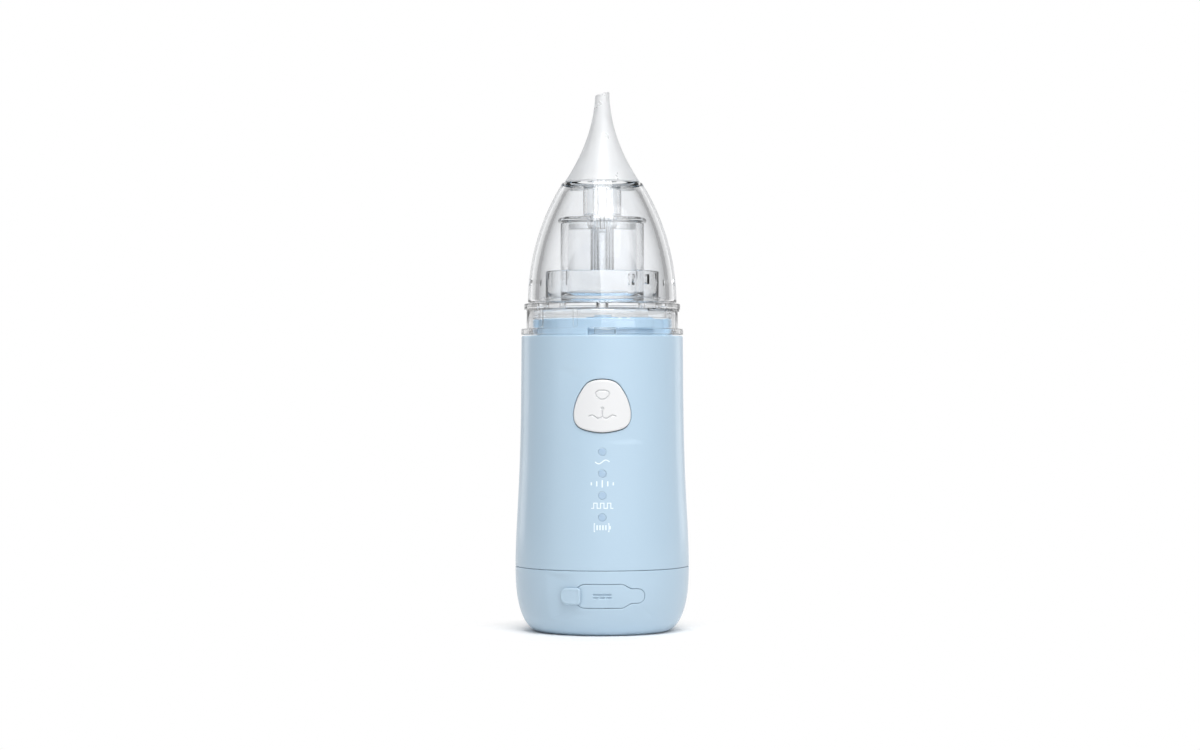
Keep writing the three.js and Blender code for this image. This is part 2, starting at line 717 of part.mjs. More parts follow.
function makeMainBoard() {
  const back = boardFace + boardThickness;
  let board = block(boardWidth, boardThickness, boardHigh - boardLow)
    .translate(0, (boardFace + back) / 2, (boardHigh + boardLow) / 2);
  for (const z of boardScrews) board = cut(board, rodAlongY(1.2, boardFace - 1, back + 1, 0, z));
  const chipFace = boardFace - fitGap;
  const chip = block(4.4, 1.2, 4.4, 4.4, chipFace - 0.6, 58.5);
  return [piece('main_board', board, 0x1f5b3a, 0.45), piece('controller_chip', chip, 0x202225, 0.4)];
}

const headGap = boardFace - fitGap;
function makeBoardScrews() {
  return boardScrews.map((z, i) => {
    const head = rodAlongY(1.7, headGap - 0.9, headGap, 0, z);
    const shank = rodAlongY(0.9, headGap - 0.2, chassisFace + plateDepth, 0, z);
    return piece(`board_screw_${i + 1}`, joined(head, shank), 0xb9bcc0, 0.3, 0.9);
  });
}

function makeCapScrews() {
  return screwAngles.map((angle, i) => {
    const spot = polar(screwCircle, angle);
    const headFoot = footRecess + 0.1;
    const head = tube(screwHeadRadius, 0, headFoot, headFoot + screwHeadDepth - 0.1, smallSides);
    const shank = tube(screwRadius, 0, headFoot + 0.4, 12, smallSides);
    const slots = [block(2.6, 0.6, 0.9, 0, 0, headFoot), block(0.6, 2.6, 0.9, 0, 0, headFoot)];
    const screw = cut(joined(head, shank), ...slots).translate(spot.x, spot.y, 0);
    return piece(`cap_screw_${i + 1}`, screw, 0xb9bcc0, 0.3, 0.9);
  });
}

const socketDepth = 7;
const socketFace = padFace + 0.6; // mouth of the socket, just inside the port's wall
function makeCharging() {
  const boardTop = portHeight - socketHeight / 2 - fitGap;
  const boardDepth = 11.5;
  const board = block(16, boardDepth, boardThickness)
    .translate(0, socketFace + fitGap + boardDepth / 2, boardTop - boardThickness / 2);
  const middle = socketFace + socketDepth / 2;
  const shell = block(socketWidth, socketDepth, socketHeight, 0, middle, portHeight);
  const mouth = block(socketWidth - 0.8, socketDepth, socketHeight - 0.8, 0, middle - 1, portHeight);
  const tongue = block(socketWidth - 3, socketDepth - 1.5, 0.7, 0, middle + 0.5, portHeight);
  return [
    piece('charge_board', board, 0x1f5b3a, 0.45),
    piece('charge_socket', joined(shell.subtract(mouth), tongue), 0xc4c7cb, 0.25, 1),
  ];
}

// ---- Battery --------------------------------------------------------------------------------

function makeBattery() {
  const tab = 0.4;
  const cellFoot = 2 * fitGap + tab;
  const cellTop = cellFoot + cellLength;
  const nub = 1;
  const cell = turned([
    [0, cellFoot], [cellRadius - 0.4, cellFoot], [cellRadius, cellFoot + 0.4], [cellRadius, cellTop - 0.4],
    [cellRadius - 0.4, cellTop], [2.75, cellTop], [2.75, cellTop + nub], [0, cellTop + nub],
  ], midSides);
  const lowTab = block(5, 9.5, tab, 0, -1.5, fitGap + tab / 2);
  const topTab = block(5, 6, tab, 0, -0.5, cellTop + nub + fitGap + tab / 2);
  return group(
    ...cellSpot,
    shelfTop,
    piece('battery_cell', cell, 0x3f6f9e, 0.4),
    piece('battery_tab_bottom', lowTab, 0xc9ccd0, 0.3, 0.9),
    piece('battery_tab_top', topTab, 0xc9ccd0, 0.3, 0.9),
  );
}

// ---- Vacuum pump ----------------------------------------------------------------------------

const pumpWall = 1.8;
const frameFoot = fitGap + motorLength + fitGap;
const frameHeight = 12;
const eccentricFoot = frameFoot + pumpWall + fitGap;
const eccentricHeight = 4;
const crankOffset = 1.5;
const crankRadius = 0.8;
const diaphragmFoot = frameFoot + frameHeight + fitGap;
const valveFoot = diaphragmFoot + 1 + fitGap;
const headFoot = valveFoot + 2 + fitGap;
const nippleTop = headFoot + 7.2;
const inletNipple = [-3.5, -2];
const outletNipple = [3.5, 3];

function makeMotor() {
  const rear = motorRadius - 1.5;
  const can = turned([
    [0, fitGap], [3, fitGap], [3, fitGap + 1], [rear, fitGap + 1], [motorRadius, fitGap + 2.5],
    [motorRadius, fitGap + motorLength - 0.6], [motorRadius - 0.6, fitGap + motorLength],
    [0, fitGap + motorLength],
  ], midSides);
  const bore = tube(shaftRadius + fitGap, 0, motorLength - 6, motorLength + 2, smallSides);
  return piece('pump_motor', cut(can, bore), 0xb4b8bc, 0.3, 0.9);
}

function makeEccentric() {
  const top = eccentricFoot + eccentricHeight;
  const shaft = tube(shaftRadius, 0, motorLength - 5, top - 1, smallSides);
  const wheel = tube(5, 0, eccentricFoot, top, midSides);
  const crank = tube(crankRadius, 0, top - 0.5, top + 3, smallSides).translate(crankOffset, 0, 0);
  return piece('eccentric', joined(shaft, wheel, crank), 0xe8e4d8, 0.5);
}

function makePumpStack() {
  const frame = turned([
    [shaftRadius + 2 * fitGap, frameFoot], [motorRadius, frameFoot], [motorRadius, frameFoot + frameHeight],
    [motorRadius - pumpWall, frameFoot + frameHeight], [motorRadius - pumpWall, frameFoot + pumpWall],
    [shaftRadius + 2 * fitGap, frameFoot + pumpWall],
  ], midSides);
  const sideWindow = block(40, 8, 5, 0, 0, frameFoot + 6);
  const wobbleFoot = eccentricFoot + eccentricHeight + fitGap;
  const wobbleTop = frameFoot + frameHeight - fitGap;
  const sweep = crankOffset + crankRadius + fitGap;
  const wobble = tube(8, sweep, wobbleFoot, wobbleTop, midSides);
  const diaphragm = tube(motorRadius - 0.4, 0, diaphragmFoot, diaphragmFoot + 1, midSides);
  const valve = tube(motorRadius, 0, valveFoot, valveFoot + 2, midSides)
    .subtract(tube(0.8, 0, valveFoot - 1, valveFoot + 3, 8).translate(...inletNipple, 0))
    .subtract(tube(0.8, 0, valveFoot - 1, valveFoot + 3, 8).translate(...outletNipple, 0));
  let head = turned([
    [0, headFoot], [motorRadius, headFoot], [motorRadius, headFoot + 3], [motorRadius - 1, headFoot + 4],
    [0, headFoot + 4],
  ], midSides);
  for (const spot of [inletNipple, outletNipple]) {
    head = joined(head, tube(hoseRadius - 0.4, 0, headFoot + 3, nippleTop, smallSides).translate(...spot, 0));
  }
  for (const spot of [inletNipple, outletNipple]) {
    head = cut(head, tube(0.8, 0, headFoot - 1, nippleTop + 1, 8).translate(...spot, 0));
  }
  return [
    piece('pump_frame', cut(frame, sideWindow), 0x33363a, 0.5),
    piece('wobble_plate', wobble, 0xd7d3c6, 0.5),
    piece('diaphragm', diaphragm, 0x2b2b2d, 0.8),
    piece('valve_plate', valve, 0xe4e4e2, 0.5),
    piece('pump_head', head, 0x33363a, 0.5),
  ];
}

function makeMuffler() {
  const foot = nippleTop + fitGap;
  const can = turned([
    [1, foot], [3.6, foot], [3.6, foot + 5], [3, foot + 5.6], [1, foot + 5.6],
  ], smallSides).translate(...outletNipple, 0);
  return piece('exhaust_muffler', can, 0xf0efe9, 0.95);
}

function makeSuctionHose() {
  const start = shelfTop + nippleTop + fitGap;
  const [x, y] = [pumpSpot[0] + inletNipple[0], pumpSpot[1] + inletNipple[1]];
  const route = [
    [x, y, start], [x * 0.95, y * 0.95, start + 1.5], [0.1, 0.1, hoseTop - 1.5], [0, 0, hoseTop],
  ];
  return clearPiece('suction_hose', lead(route, hoseRadius, 6, 8, hoseBore), silicone, 0.8);
}

// ---- Internal leads -------------------------------------------------------------------------

function makeLeads() {
  const edge = boardWidth / 2 + 1;
  const front = boardFace - 0.6;
  const ends = leadGates.map(([x, z]) => [
    [x, chassisFace + 2.7, z], [x, chassisFace - 1.2, z], [Math.sign(x) * edge, front, z],
  ]);
  const [cellX, cellY] = cellSpot;
  const [pumpX, pumpY] = pumpSpot;
  const motorFront = pumpY - motorRadius - leadRadius - fitGap;
  const topTab = shelfTop + 3 * fitGap + 0.8 + cellLength + 1 + fitGap + leadRadius;
  const starts = [
    [[cellX, cellY - 2, topTab], [cellX + 1, cellY - 9, topTab], [-9.8, -8.6, 77]],
    [[cellX, cellY - cellRadius - 1.1, shelfTop + 2], [-10.8, -7.6, 30]],
    [[pumpX, motorFront, shelfTop + 3], [pumpX + 1, motorFront - 0.8, 31]],
    [
      [pumpX - 3.5, motorFront, shelfTop + 3],
      [pumpX - 1, motorFront - 1, lowGate],
      [pumpX + 1.6, motorFront - 1.2, lowGate + 4],
    ],
  ];
  const names = ['battery_lead_red', 'battery_lead_black', 'motor_lead_red', 'motor_lead_black'];
  const leads = names.map((name, i) => {
    const route = lead([...starts[i], ...ends[i]], leadRadius, 14, 6);
    return piece(name, route, name.endsWith('red') ? 0xb3262a : 0x1d1d1f, 0.5);
  });
  const boardFoot = [-7, -13, portHeight - socketHeight / 2 + fitGap + leadRadius];
  const boardRoute = [
    boardFoot, [-7.4, -14.3, 16], [-6, boardFace + 0.2, 22], [-5, boardFace + 0.6, boardLow - 0.5],
  ];
  leads.push(piece('charge_lead', lead(boardRoute, leadRadius, 14, 6), 0xb3262a, 0.5));
  return leads;
}

// ---- The whole aspirator ----------------------------------------------------------------------

const pump = group(...pumpSpot, shelfTop, makeMotor(), makeEccentric(), ...makePumpStack(), makeMuffler());
const electronics = group(
  0, 0, 0,
  ...makeMainBoard(), ...makeIndicators(), ...makeSwitch(), ...makeCharging(),
  ...makeBoardScrews(), ...makeLeads(),
);
const casing = group(
  0, 0, 0,
  makeCasing(), makeNeckPlate(), makeBaseCap(), makeButton(), makeLightPipe(), ...makePortCover(),
  ...makeSuctionSeals(), ...makeCapScrews(), makeChassis(),
);
const head = group(
  0, 0, 0, makeCupBase(), ...makeHeadSeals(), makeCollectionCup(), makeSplashLid(), makeDome(), makeNozzle(),
);

const nasalAspirator = new THREE.Group();
nasalAspirator.name = 'nasal_aspirator';
nasalAspirator.add(casing, electronics, makeBattery(), pump, makeSuctionHose(), head);

export default nasalAspirator;
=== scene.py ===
import json
from math import asin, cos, hypot, pi, radians, sin, sqrt, tan

import bmesh
import bpy
from mathutils import Matrix, Vector, noise


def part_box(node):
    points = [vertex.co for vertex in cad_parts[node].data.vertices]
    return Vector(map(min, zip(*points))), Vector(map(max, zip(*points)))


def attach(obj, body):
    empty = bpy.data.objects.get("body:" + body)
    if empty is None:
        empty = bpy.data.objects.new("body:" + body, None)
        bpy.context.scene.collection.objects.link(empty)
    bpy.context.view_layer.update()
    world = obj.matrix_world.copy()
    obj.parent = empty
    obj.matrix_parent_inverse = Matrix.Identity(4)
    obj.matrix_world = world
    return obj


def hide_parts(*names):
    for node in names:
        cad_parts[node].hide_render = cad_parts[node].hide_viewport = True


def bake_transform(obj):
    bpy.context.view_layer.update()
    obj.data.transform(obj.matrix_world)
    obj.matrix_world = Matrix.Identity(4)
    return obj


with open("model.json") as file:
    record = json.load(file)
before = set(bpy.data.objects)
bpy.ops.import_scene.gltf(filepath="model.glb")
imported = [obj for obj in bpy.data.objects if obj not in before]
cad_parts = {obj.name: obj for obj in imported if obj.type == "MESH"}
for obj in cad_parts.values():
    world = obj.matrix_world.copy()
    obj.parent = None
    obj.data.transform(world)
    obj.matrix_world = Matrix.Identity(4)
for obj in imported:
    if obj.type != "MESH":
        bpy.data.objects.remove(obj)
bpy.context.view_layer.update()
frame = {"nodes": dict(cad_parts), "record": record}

MM = 0.001


def low(node):
    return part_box(node)[0] / MM


def high(node):
    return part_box(node)[1] / MM


# ---- Sizes taken from the frame, and the few that a box can't tell -----------------------------

SEAM = low("body_shell").z
CASING_TOP = high("body_shell").z
BELLY_RADIUS = high("body_shell").x
BELLY_HEIGHT = 20.0
SHOULDER_RADIUS = 24.2
TAPER_SHARE = 0.25
STAND_RADIUS = 19.0
STAND_RING = 15.5
CAP_FULLNESS = 2.6
CASING_WALL = 2.0
NECK_TOP = low("cup_gasket").z - 0.3
NECK_RADIUS = 20.9
LIP_FOOT = low("cup_base").z
LIP_RADIUS = high("cup_base").x
CRADLE_TOP = high("cup_base").z
CUP_FOOT = low("collection_cup").z
CUP_TOP = high("collection_cup").z
CUP_RADIUS = high("collection_cup").x
DOME_FOOT = low("cup_dome").z
DOME_RADIUS = high("cup_dome").x
SPIGOT_TOP = high("cup_dome").z
DOME_TOP_RADIUS = 12.0
DOME_HEIGHT = 35.9
DOME_WALL = 3.1
NOZZLE_FOOT = low("nozzle").z
NOZZLE_HEIGHT = high("nozzle").z - NOZZLE_FOOT
NOZZLE_FOOT_RADIUS = high("nozzle").x
NOZZLE_TIP_RADIUS = 2.15
NOZZLE_WALL = 1.25
NOZZLE_BORE = 1.15
INLET_TIP = low("splash_lid").z - 0.3
PORT_HEIGHT = 12.0
BUTTON_CENTRE = 67.45
WINDOW_RADIUS = 1.15
WINDOWS = [(low(f"led_{i}").z + high(f"led_{i}").z) / 2 for i in (1, 2, 3, 4)]


def casing_radius(height):
    drop = (CASING_TOP - height) / (CASING_TOP - BELLY_HEIGHT)
    eased = (1 - cos(pi * drop * drop)) / 2
    swell = TAPER_SHARE * drop + (1 - TAPER_SHARE) * eased
    return SHOULDER_RADIUS + (BELLY_RADIUS - SHOULDER_RADIUS) * swell


def cap_radius(height):
    rise = sqrt(max(0.0, 1 - (1 - height / BELLY_HEIGHT) ** CAP_FULLNESS))
    return STAND_RADIUS + (BELLY_RADIUS - STAND_RADIUS) * rise


def dome_radius(height):
    narrowing = DOME_RADIUS - DOME_TOP_RADIUS
    bend = (DOME_HEIGHT**2 + narrowing**2) / (2 * narrowing)
    return DOME_RADIUS - bend + sqrt(bend**2 - height**2)


def nozzle_radius(height):
    return NOZZLE_TIP_RADIUS + (NOZZLE_FOOT_RADIUS - NOZZLE_TIP_RADIUS) * (1 - height / NOZZLE_HEIGHT) ** 2


def nozzle_inside(height):
    foot = NOZZLE_FOOT_RADIUS - NOZZLE_WALL
    return NOZZLE_BORE + (foot - NOZZLE_BORE) * (1 - height / NOZZLE_HEIGHT) ** 2


def spread(start, end, count):
    return [start + (end - start) * i / count for i in range(count + 1)]


# ---- Mesh work ---------------------------------------------------------------------------------

SIDES = 144


def smoothed(mesh, sharp):
    """Smooth shading that keeps edges over a number of degrees crisp."""
    mesh.polygons.foreach_set("use_smooth", [True] * len(mesh.polygons))
    mesh.set_sharp_from_angle(angle=radians(sharp))


def to_object(name, shape, sharp=32):
    """A finished bmesh as a smooth-shaded object whose edges over a number of degrees stay crisp."""
    bmesh.ops.remove_doubles(shape, verts=shape.verts, dist=1e-7)
    bmesh.ops.recalc_face_normals(shape, faces=shape.faces)
    mesh = bpy.data.meshes.new(name)
    shape.to_mesh(mesh)
    shape.free()
    smoothed(mesh, sharp)
    piece = bpy.data.objects.new(name, mesh)
    bpy.context.scene.collection.objects.link(piece)
    return piece


def bridge(shape, one, other, skip=()):
    """Faces between two rings of corners; a ring of one corner is a pole."""
    count = max(len(one), len(other))
    for i in range(count):
        if i in skip:
            continue
        j = (i + 1) % count
        corners = [one[i % len(one)], one[j % len(one)], other[j % len(other)], other[i % len(other)]]
        shape.faces.new(list(dict.fromkeys(corners)))


def filleted(outline, closed=True, steps=5):
    """The outline's points, with every corner that gives a third number rounded to that radius."""
    points = []
    count = len(outline)
    for i, corner in enumerate(outline):
        here = Vector(corner[:2])
        if len(corner) == 2 or (not closed and i in (0, count - 1)):
            points.append(tuple(here))
            continue
        neighbours = outline[i - 1], outline[(i + 1) % count]
        before, after = (Vector(point[:2]) - here for point in neighbours)
        room = [0.49 if len(point) > 2 else 0.999 for point in neighbours]
        half = before.angle(after) / 2
        reach = min(corner[2] / tan(half), before.length * room[0], after.length * room[1])
        radius = reach * tan(half)
        centre = here + (before.normalized() + after.normalized()).normalized() * radius / sin(half)
        start = here + before.normalized() * reach - centre
        end = here + after.normalized() * reach - centre
        turn = start.angle_signed(end)
        for t in spread(0, 1, steps):
            angle = -turn * t
            points.append((
                centre.x + start.x * cos(angle) - start.y * sin(angle),
                centre.y + start.x * sin(angle) + start.y * cos(angle),
            ))
    return points


def turned_shape(profile, sides=SIDES, swell=None):
    """A bmesh turned about Z. swell(radius, height, turn) may change the radius round the turn."""
    shape = bmesh.new()
    rings = []
    for radius, height in profile:
        if radius == 0:
            rings.append([shape.verts.new((0, 0, height * MM))])
            continue
        ring = []
        for i in range(sides):
            turn = 2 * pi * i / sides
            reach = swell(radius, height, turn) if swell else radius
            ring.append(shape.verts.new((reach * sin(turn) * MM, -reach * cos(turn) * MM, height * MM)))
        rings.append(ring)
    for one, other in zip(rings, rings[1:]):
        bridge(shape, one, other)
    if profile[0][0] != 0:
        bridge(shape, rings[-1], rings[0])
    return shape


def turned(name, outline, sides=SIDES, sharp=32):
    """A turned piece whose outline closes on itself or runs from the axis to the axis."""
    on_axis = outline[0][0] == 0
    return to_object(name, turned_shape(filleted(outline, not on_axis), sides), sharp)


def moved(shape, x=0.0, y=0.0, z=0.0):
    bmesh.ops.translate(shape, verts=shape.verts, vec=(x * MM, y * MM, z * MM))
    return shape


def rounded_block(width, depth, height, x, y, z, fillet=0.2):
    """A block with softened edges, centred on x, y, z."""
    shape = bmesh.new()
    bmesh.ops.create_cube(shape, size=1)
    bmesh.ops.scale(shape, vec=(width * MM, depth * MM, height * MM), verts=shape.verts)
    bmesh.ops.bevel(shape, geom=shape.edges[:], offset=fillet * MM, segments=3, affect="EDGES", profile=0.5)
    return moved(shape, x, y, z)


def apply_modifiers(piece):
    """Bakes a piece's modifiers into its mesh."""
    settled = piece.evaluated_get(bpy.context.evaluated_depsgraph_get())
    mesh = bpy.data.meshes.new_from_object(settled)
    piece.modifiers.clear()
    piece.data = mesh
    return piece


def combined(piece, shapes, operation, sharp=32):
    """The piece joined with or cut by each of the given bmeshes."""
    for shape in shapes:
        tool = to_object("tool", shape)
        boolean = piece.modifiers.new("cut", "BOOLEAN")
        boolean.operation = operation
        boolean.object = tool
        boolean.solver = "EXACT"
        apply_modifiers(piece)
        bpy.data.objects.remove(tool)
    smoothed(piece.data, sharp)
    return piece


def subdivided(piece, levels=1, sharp=60):
    smooth = piece.modifiers.new("smooth", "SUBSURF")
    smooth.levels = levels
    smooth.render_levels = levels
    apply_modifiers(piece)
    smoothed(piece.data, sharp)
    return piece


# ---- Outlines on the front of the casing -------------------------------------------------------


def smooth_loop(corners, pieces=14):
    """A closed smooth curve through the corners, as many short steps, anticlockwise from its start."""
    points = []
    count = len(corners)
    for i in range(count):
        a, b, c, d = (Vector(corners[(i + k) % count]) for k in (-1, 0, 1, 2))
        for step in range(pieces):
            t = step / pieces
            points.append(0.5 * (2 * b + (c - a) * t + (2 * a - 5 * b + 4 * c - d) * t * t
                                 + (3 * b - a - 3 * c + d) * t**3))
    return points


def grown(points, margin):
    """The closed outline moved outwards all round by a margin."""
    count = len(points)
    outside = []
    for i, point in enumerate(points):
        along = points[(i + 1) % count] - points[i - 1]
        outside.append(point + Vector((along.y, -along.x)).normalized() * margin)
    return outside


def walked(points, shares):
    """Points along a closed outline at the given shares of its length."""
    count = len(points)
    legs = [(points[(i + 1) % count] - points[i]).length for i in range(count)]
    total = sum(legs)
    found = []
    i, passed = 0, 0.0
    for share in shares:
        goal = share * total
        while i < count - 1 and passed + legs[i] < goal:
            passed += legs[i]
            i += 1
        found.append(points[i].lerp(points[(i + 1) % count], min(1.0, (goal - passed) / legs[i])))
    return found


def button_outline():
    """The muzzle shape of the button, anticlockwise from its right side."""
    box_low, box_high = low("power_button"), high("power_button")
    half_width = (box_high.x - box_low.x) / 2 - 1.1
    half_height = (box_high.z - box_low.z) / 2 - 1.1
    foot = BUTTON_CENTRE - half_height
    right = [(1, 0.34), (0.945, 0.52), (0.8, 0.72), (0.49, 0.94)]
    low_right = [(0.66, 0.06), (0.93, 0.17)]
    left = [(-x, z) for x, z in reversed(right)] + [(-x, z) for x, z in reversed(low_right)]
    shares = right + [(0, 1)] + left + [(0, 0)] + low_right
    return smooth_loop([(x * half_width, foot + z * 2 * half_height) for x, z in shares])


def round_outline(radius, x, z, count=48):
    return [
        Vector((x + radius * cos(2 * pi * i / count), z + radius * sin(2 * pi * i / count)))
        for i in range(count)
    ]


FLAP_LEFT = -7.7
FLAP_RIGHT = high("flap_anchor").x
FLAP_HALF = (high("port_flap").z - low("port_flap").z) / 2
FLAP_END_HALF = (high("flap_anchor").z - low("flap_anchor").z) / 2
FLAP_SHOULDER = FLAP_LEFT + (FLAP_RIGHT - FLAP_LEFT) * 0.73


def dense(points, pitch=0.25):
    """The closed outline with extra points, none further apart than the pitch."""
    filled = []
    for i, point in enumerate(points):
        here, there = Vector(point), Vector(points[(i + 1) % len(points)])
        count = max(1, round((there - here).length / pitch))
        filled += [here.lerp(there, k / count) for k in range(count)]
    return filled


def flap_outline():
    """The port cover: round on its left, with shoulders that narrow to a small round end."""
    centre = PORT_HEIGHT
    taper_end = FLAP_SHOULDER + 1.5
    upper = [
        (FLAP_RIGHT, centre + FLAP_END_HALF, FLAP_END_HALF), (taper_end, centre + FLAP_END_HALF, 1.2),
        (FLAP_SHOULDER - 0.9, centre + FLAP_HALF, 1.6), (FLAP_LEFT, centre + FLAP_HALF, 2.6),
    ]
    lower = [(x, 2 * centre - z, r) for x, z, r in reversed(upper)]
    start = (FLAP_RIGHT, centre)
    return dense(filleted([start] + upper + lower, steps=8))


TAB_RIGHT = FLAP_LEFT + 1.5
TAB_LEFT = low("port_flap").x
TAB_HALF = 2.45


def tab_outline():
    centre = PORT_HEIGHT
    corners = [
        (TAB_RIGHT, centre), (TAB_RIGHT, centre + TAB_HALF, 0.9), (TAB_LEFT, centre + TAB_HALF, 2.0),
        (TAB_LEFT, centre - TAB_HALF, 2.0), (TAB_RIGHT, centre - TAB_HALF, 0.9),
    ]
    return dense(filleted(corners, steps=8), 0.12)


def rounded_box_outline(width, height, corner, x, z):
    right, left, top, foot = x + width / 2, x - width / 2, z + height / 2, z - height / 2
    corners = [
        (right, z), (right, top, corner), (left, top, corner), (left, foot, corner), (right, foot, corner)
    ]
    return dense(filleted(corners, steps=6))


# ---- Casings: a skin with rims, and openings let into its grid ---------------------------------


def wrapped(x, z, depth, radius_at):
    """A point below the casing's front, at a sideways place, a height and a depth."""
    outer = radius_at(z)
    turn = asin(max(-1.0, min(1.0, x / outer)))
    reach = outer - depth
    return Vector((reach * sin(turn), -reach * cos(turn), z)) * MM


def opening_cells(opening, rows):
    """Grid columns and rows, from and to, that an opening's patch takes up."""
    half, foot, top = opening["columns"], opening["from"], opening["to"]
    lower = min(range(len(rows)), key=lambda j: abs(rows[j] - foot))
    upper = min(range(len(rows)), key=lambda j: abs(rows[j] - top))
    return half, lower, upper


def border(layer, half, lower, upper):
    """The grid's corners round a patch, anticlockwise from the middle of its right side."""
    middle = (lower + upper) // 2
    right = [layer[j][half] for j in range(middle, upper)]
    top = [layer[upper][k] for k in range(half, -half, -1)]
    left = [layer[j][-half] for j in range(upper, lower, -1)]
    foot = [layer[lower][k] for k in range(-half, half)]
    return right + top + left + foot + [layer[j][half] for j in range(lower, middle)]


def shares_along(corners):
    flat = [Vector((corner.co.x, corner.co.z)) for corner in corners]
    legs = [(flat[(i + 1) % len(flat)] - flat[i]).length for i in range(len(flat))]
    total, shares, passed = sum(legs), [], 0.0
    for leg in legs:
        shares.append(passed / total)
        passed += leg
    return shares


def skin(name, radius_at, rows, top_rim, foot_rim, openings, wall=CASING_WALL, sides=SIDES):
    """A turned shell with a wall, rims given as [radius, height] points and openings in its front."""
    shape = bmesh.new()

    def ring(radius, height):
        turns = [2 * pi * i / sides for i in range(sides)]
        return [shape.verts.new((radius * sin(t) * MM, -radius * cos(t) * MM, height * MM)) for t in turns]

    outer = [ring(radius_at(z), z) for z in rows]
    inner = [ring(radius_at(z) - wall, z) for z in rows]
    patches = [(opening, *opening_cells(opening, rows)) for opening in openings]
    for layer in (outer, inner):
        for j in range(len(rows) - 1):
            taken = {
                k % sides for _, half, lower, upper in patches if lower <= j < upper
                for k in range(-half, half)
            }
            bridge(shape, layer[j], layer[j + 1], taken)
    for start, points, end in ((outer[-1], top_rim, inner[-1]), (outer[0], foot_rim, inner[0])):
        rings = [start] + [ring(*point) for point in points] + [end]
        for one, other in zip(rings, rings[1:]):
            bridge(shape, one, other)
    for opening, half, lower, upper in patches:
        around = border(outer, half, lower, upper)
        shares = shares_along(around)
        rings = [around]
        for outline, margin, depth in opening["steps"]:
            points = walked(grown(outline, margin) if margin else outline, shares)
            rings.append([shape.verts.new(wrapped(p.x, p.y, depth, radius_at)) for p in points])
        rings.append(border(inner, half, lower, upper))
        for one, other in zip(rings, rings[1:]):
            bridge(shape, one, other)
    return subdivided(to_object(name, shape))


# ---- Casing pieces -----------------------------------------------------------------------------

PART_LINE = 0.05  # half of the gap that shows between the casing and the base cap
PART_MIDDLE = SEAM - 0.15
BUTTON_GAP = 0.2


def rows_through(start, end, marks, pitch=1.1):
    """Grid heights from start to end that give each (from, to, count) mark its own even rows."""
    rows = [start]
    for first, last, count in sorted(marks) + [(end, end, 0)]:
        if first > rows[-1] + 1e-6:
            fill = max(1, round((first - rows[-1]) / pitch))
            rows += spread(rows[-1], first, fill)[1:]
        rows += spread(first, last, count)[1:] if count else []
    return rows


def body_casing():
    top, foot = CASING_TOP, PART_MIDDLE + PART_LINE
    first, last = foot + 0.5, top - 2.2
    button = {"columns": 12, "from": 56.7, "to": 78.3, "steps": [
        (button_outline(), margin + BUTTON_GAP, depth) for margin, depth in (
            (1.8, 0), (0.9, 0), (0.42, 0), (0.2, 0.02), (0.06, 0.09), (0, 0.25), (0, 1.0), (0, 1.85),
            (0.2, 2))]}
    windows = [{"columns": 2, "from": z - 2, "to": z + 2, "steps": [
        (round_outline(WINDOW_RADIUS, 0, z), margin, depth) for margin, depth in (
            (0.5, 0), (0.2, 0), (0.09, 0.015), (0.05, 0.07), (0.05, 0.4), (0.05, 1.9))]} for z in WINDOWS]
    marks = [(button["from"], button["to"], 22)] + [(w["from"], w["to"], 4) for w in windows]
    shoulder = NECK_RADIUS + 0.25
    top_rim = [
        (SHOULDER_RADIUS, top - 1), (SHOULDER_RADIUS, top - 0.4), (SHOULDER_RADIUS - 0.06, top - 0.14),
        (SHOULDER_RADIUS - 0.22, top - 0.02), (SHOULDER_RADIUS - 0.5, top), (shoulder + 0.3, top),
        (shoulder + 0.05, top - 0.05), (shoulder, top - 0.3), (shoulder, top - 1.8),
        (shoulder + 0.2, top - 2),
    ]
    rim = casing_radius(foot)
    foot_rim = [
        (rim, foot + 0.25), (rim - 0.03, foot + 0.09), (rim - 0.13, foot), (rim - 0.4, foot),
        (rim - CASING_WALL + 0.2, foot),
    ]
    rows = rows_through(first, last, marks)
    return skin("casing", casing_radius, rows, top_rim, foot_rim, [button] + windows)


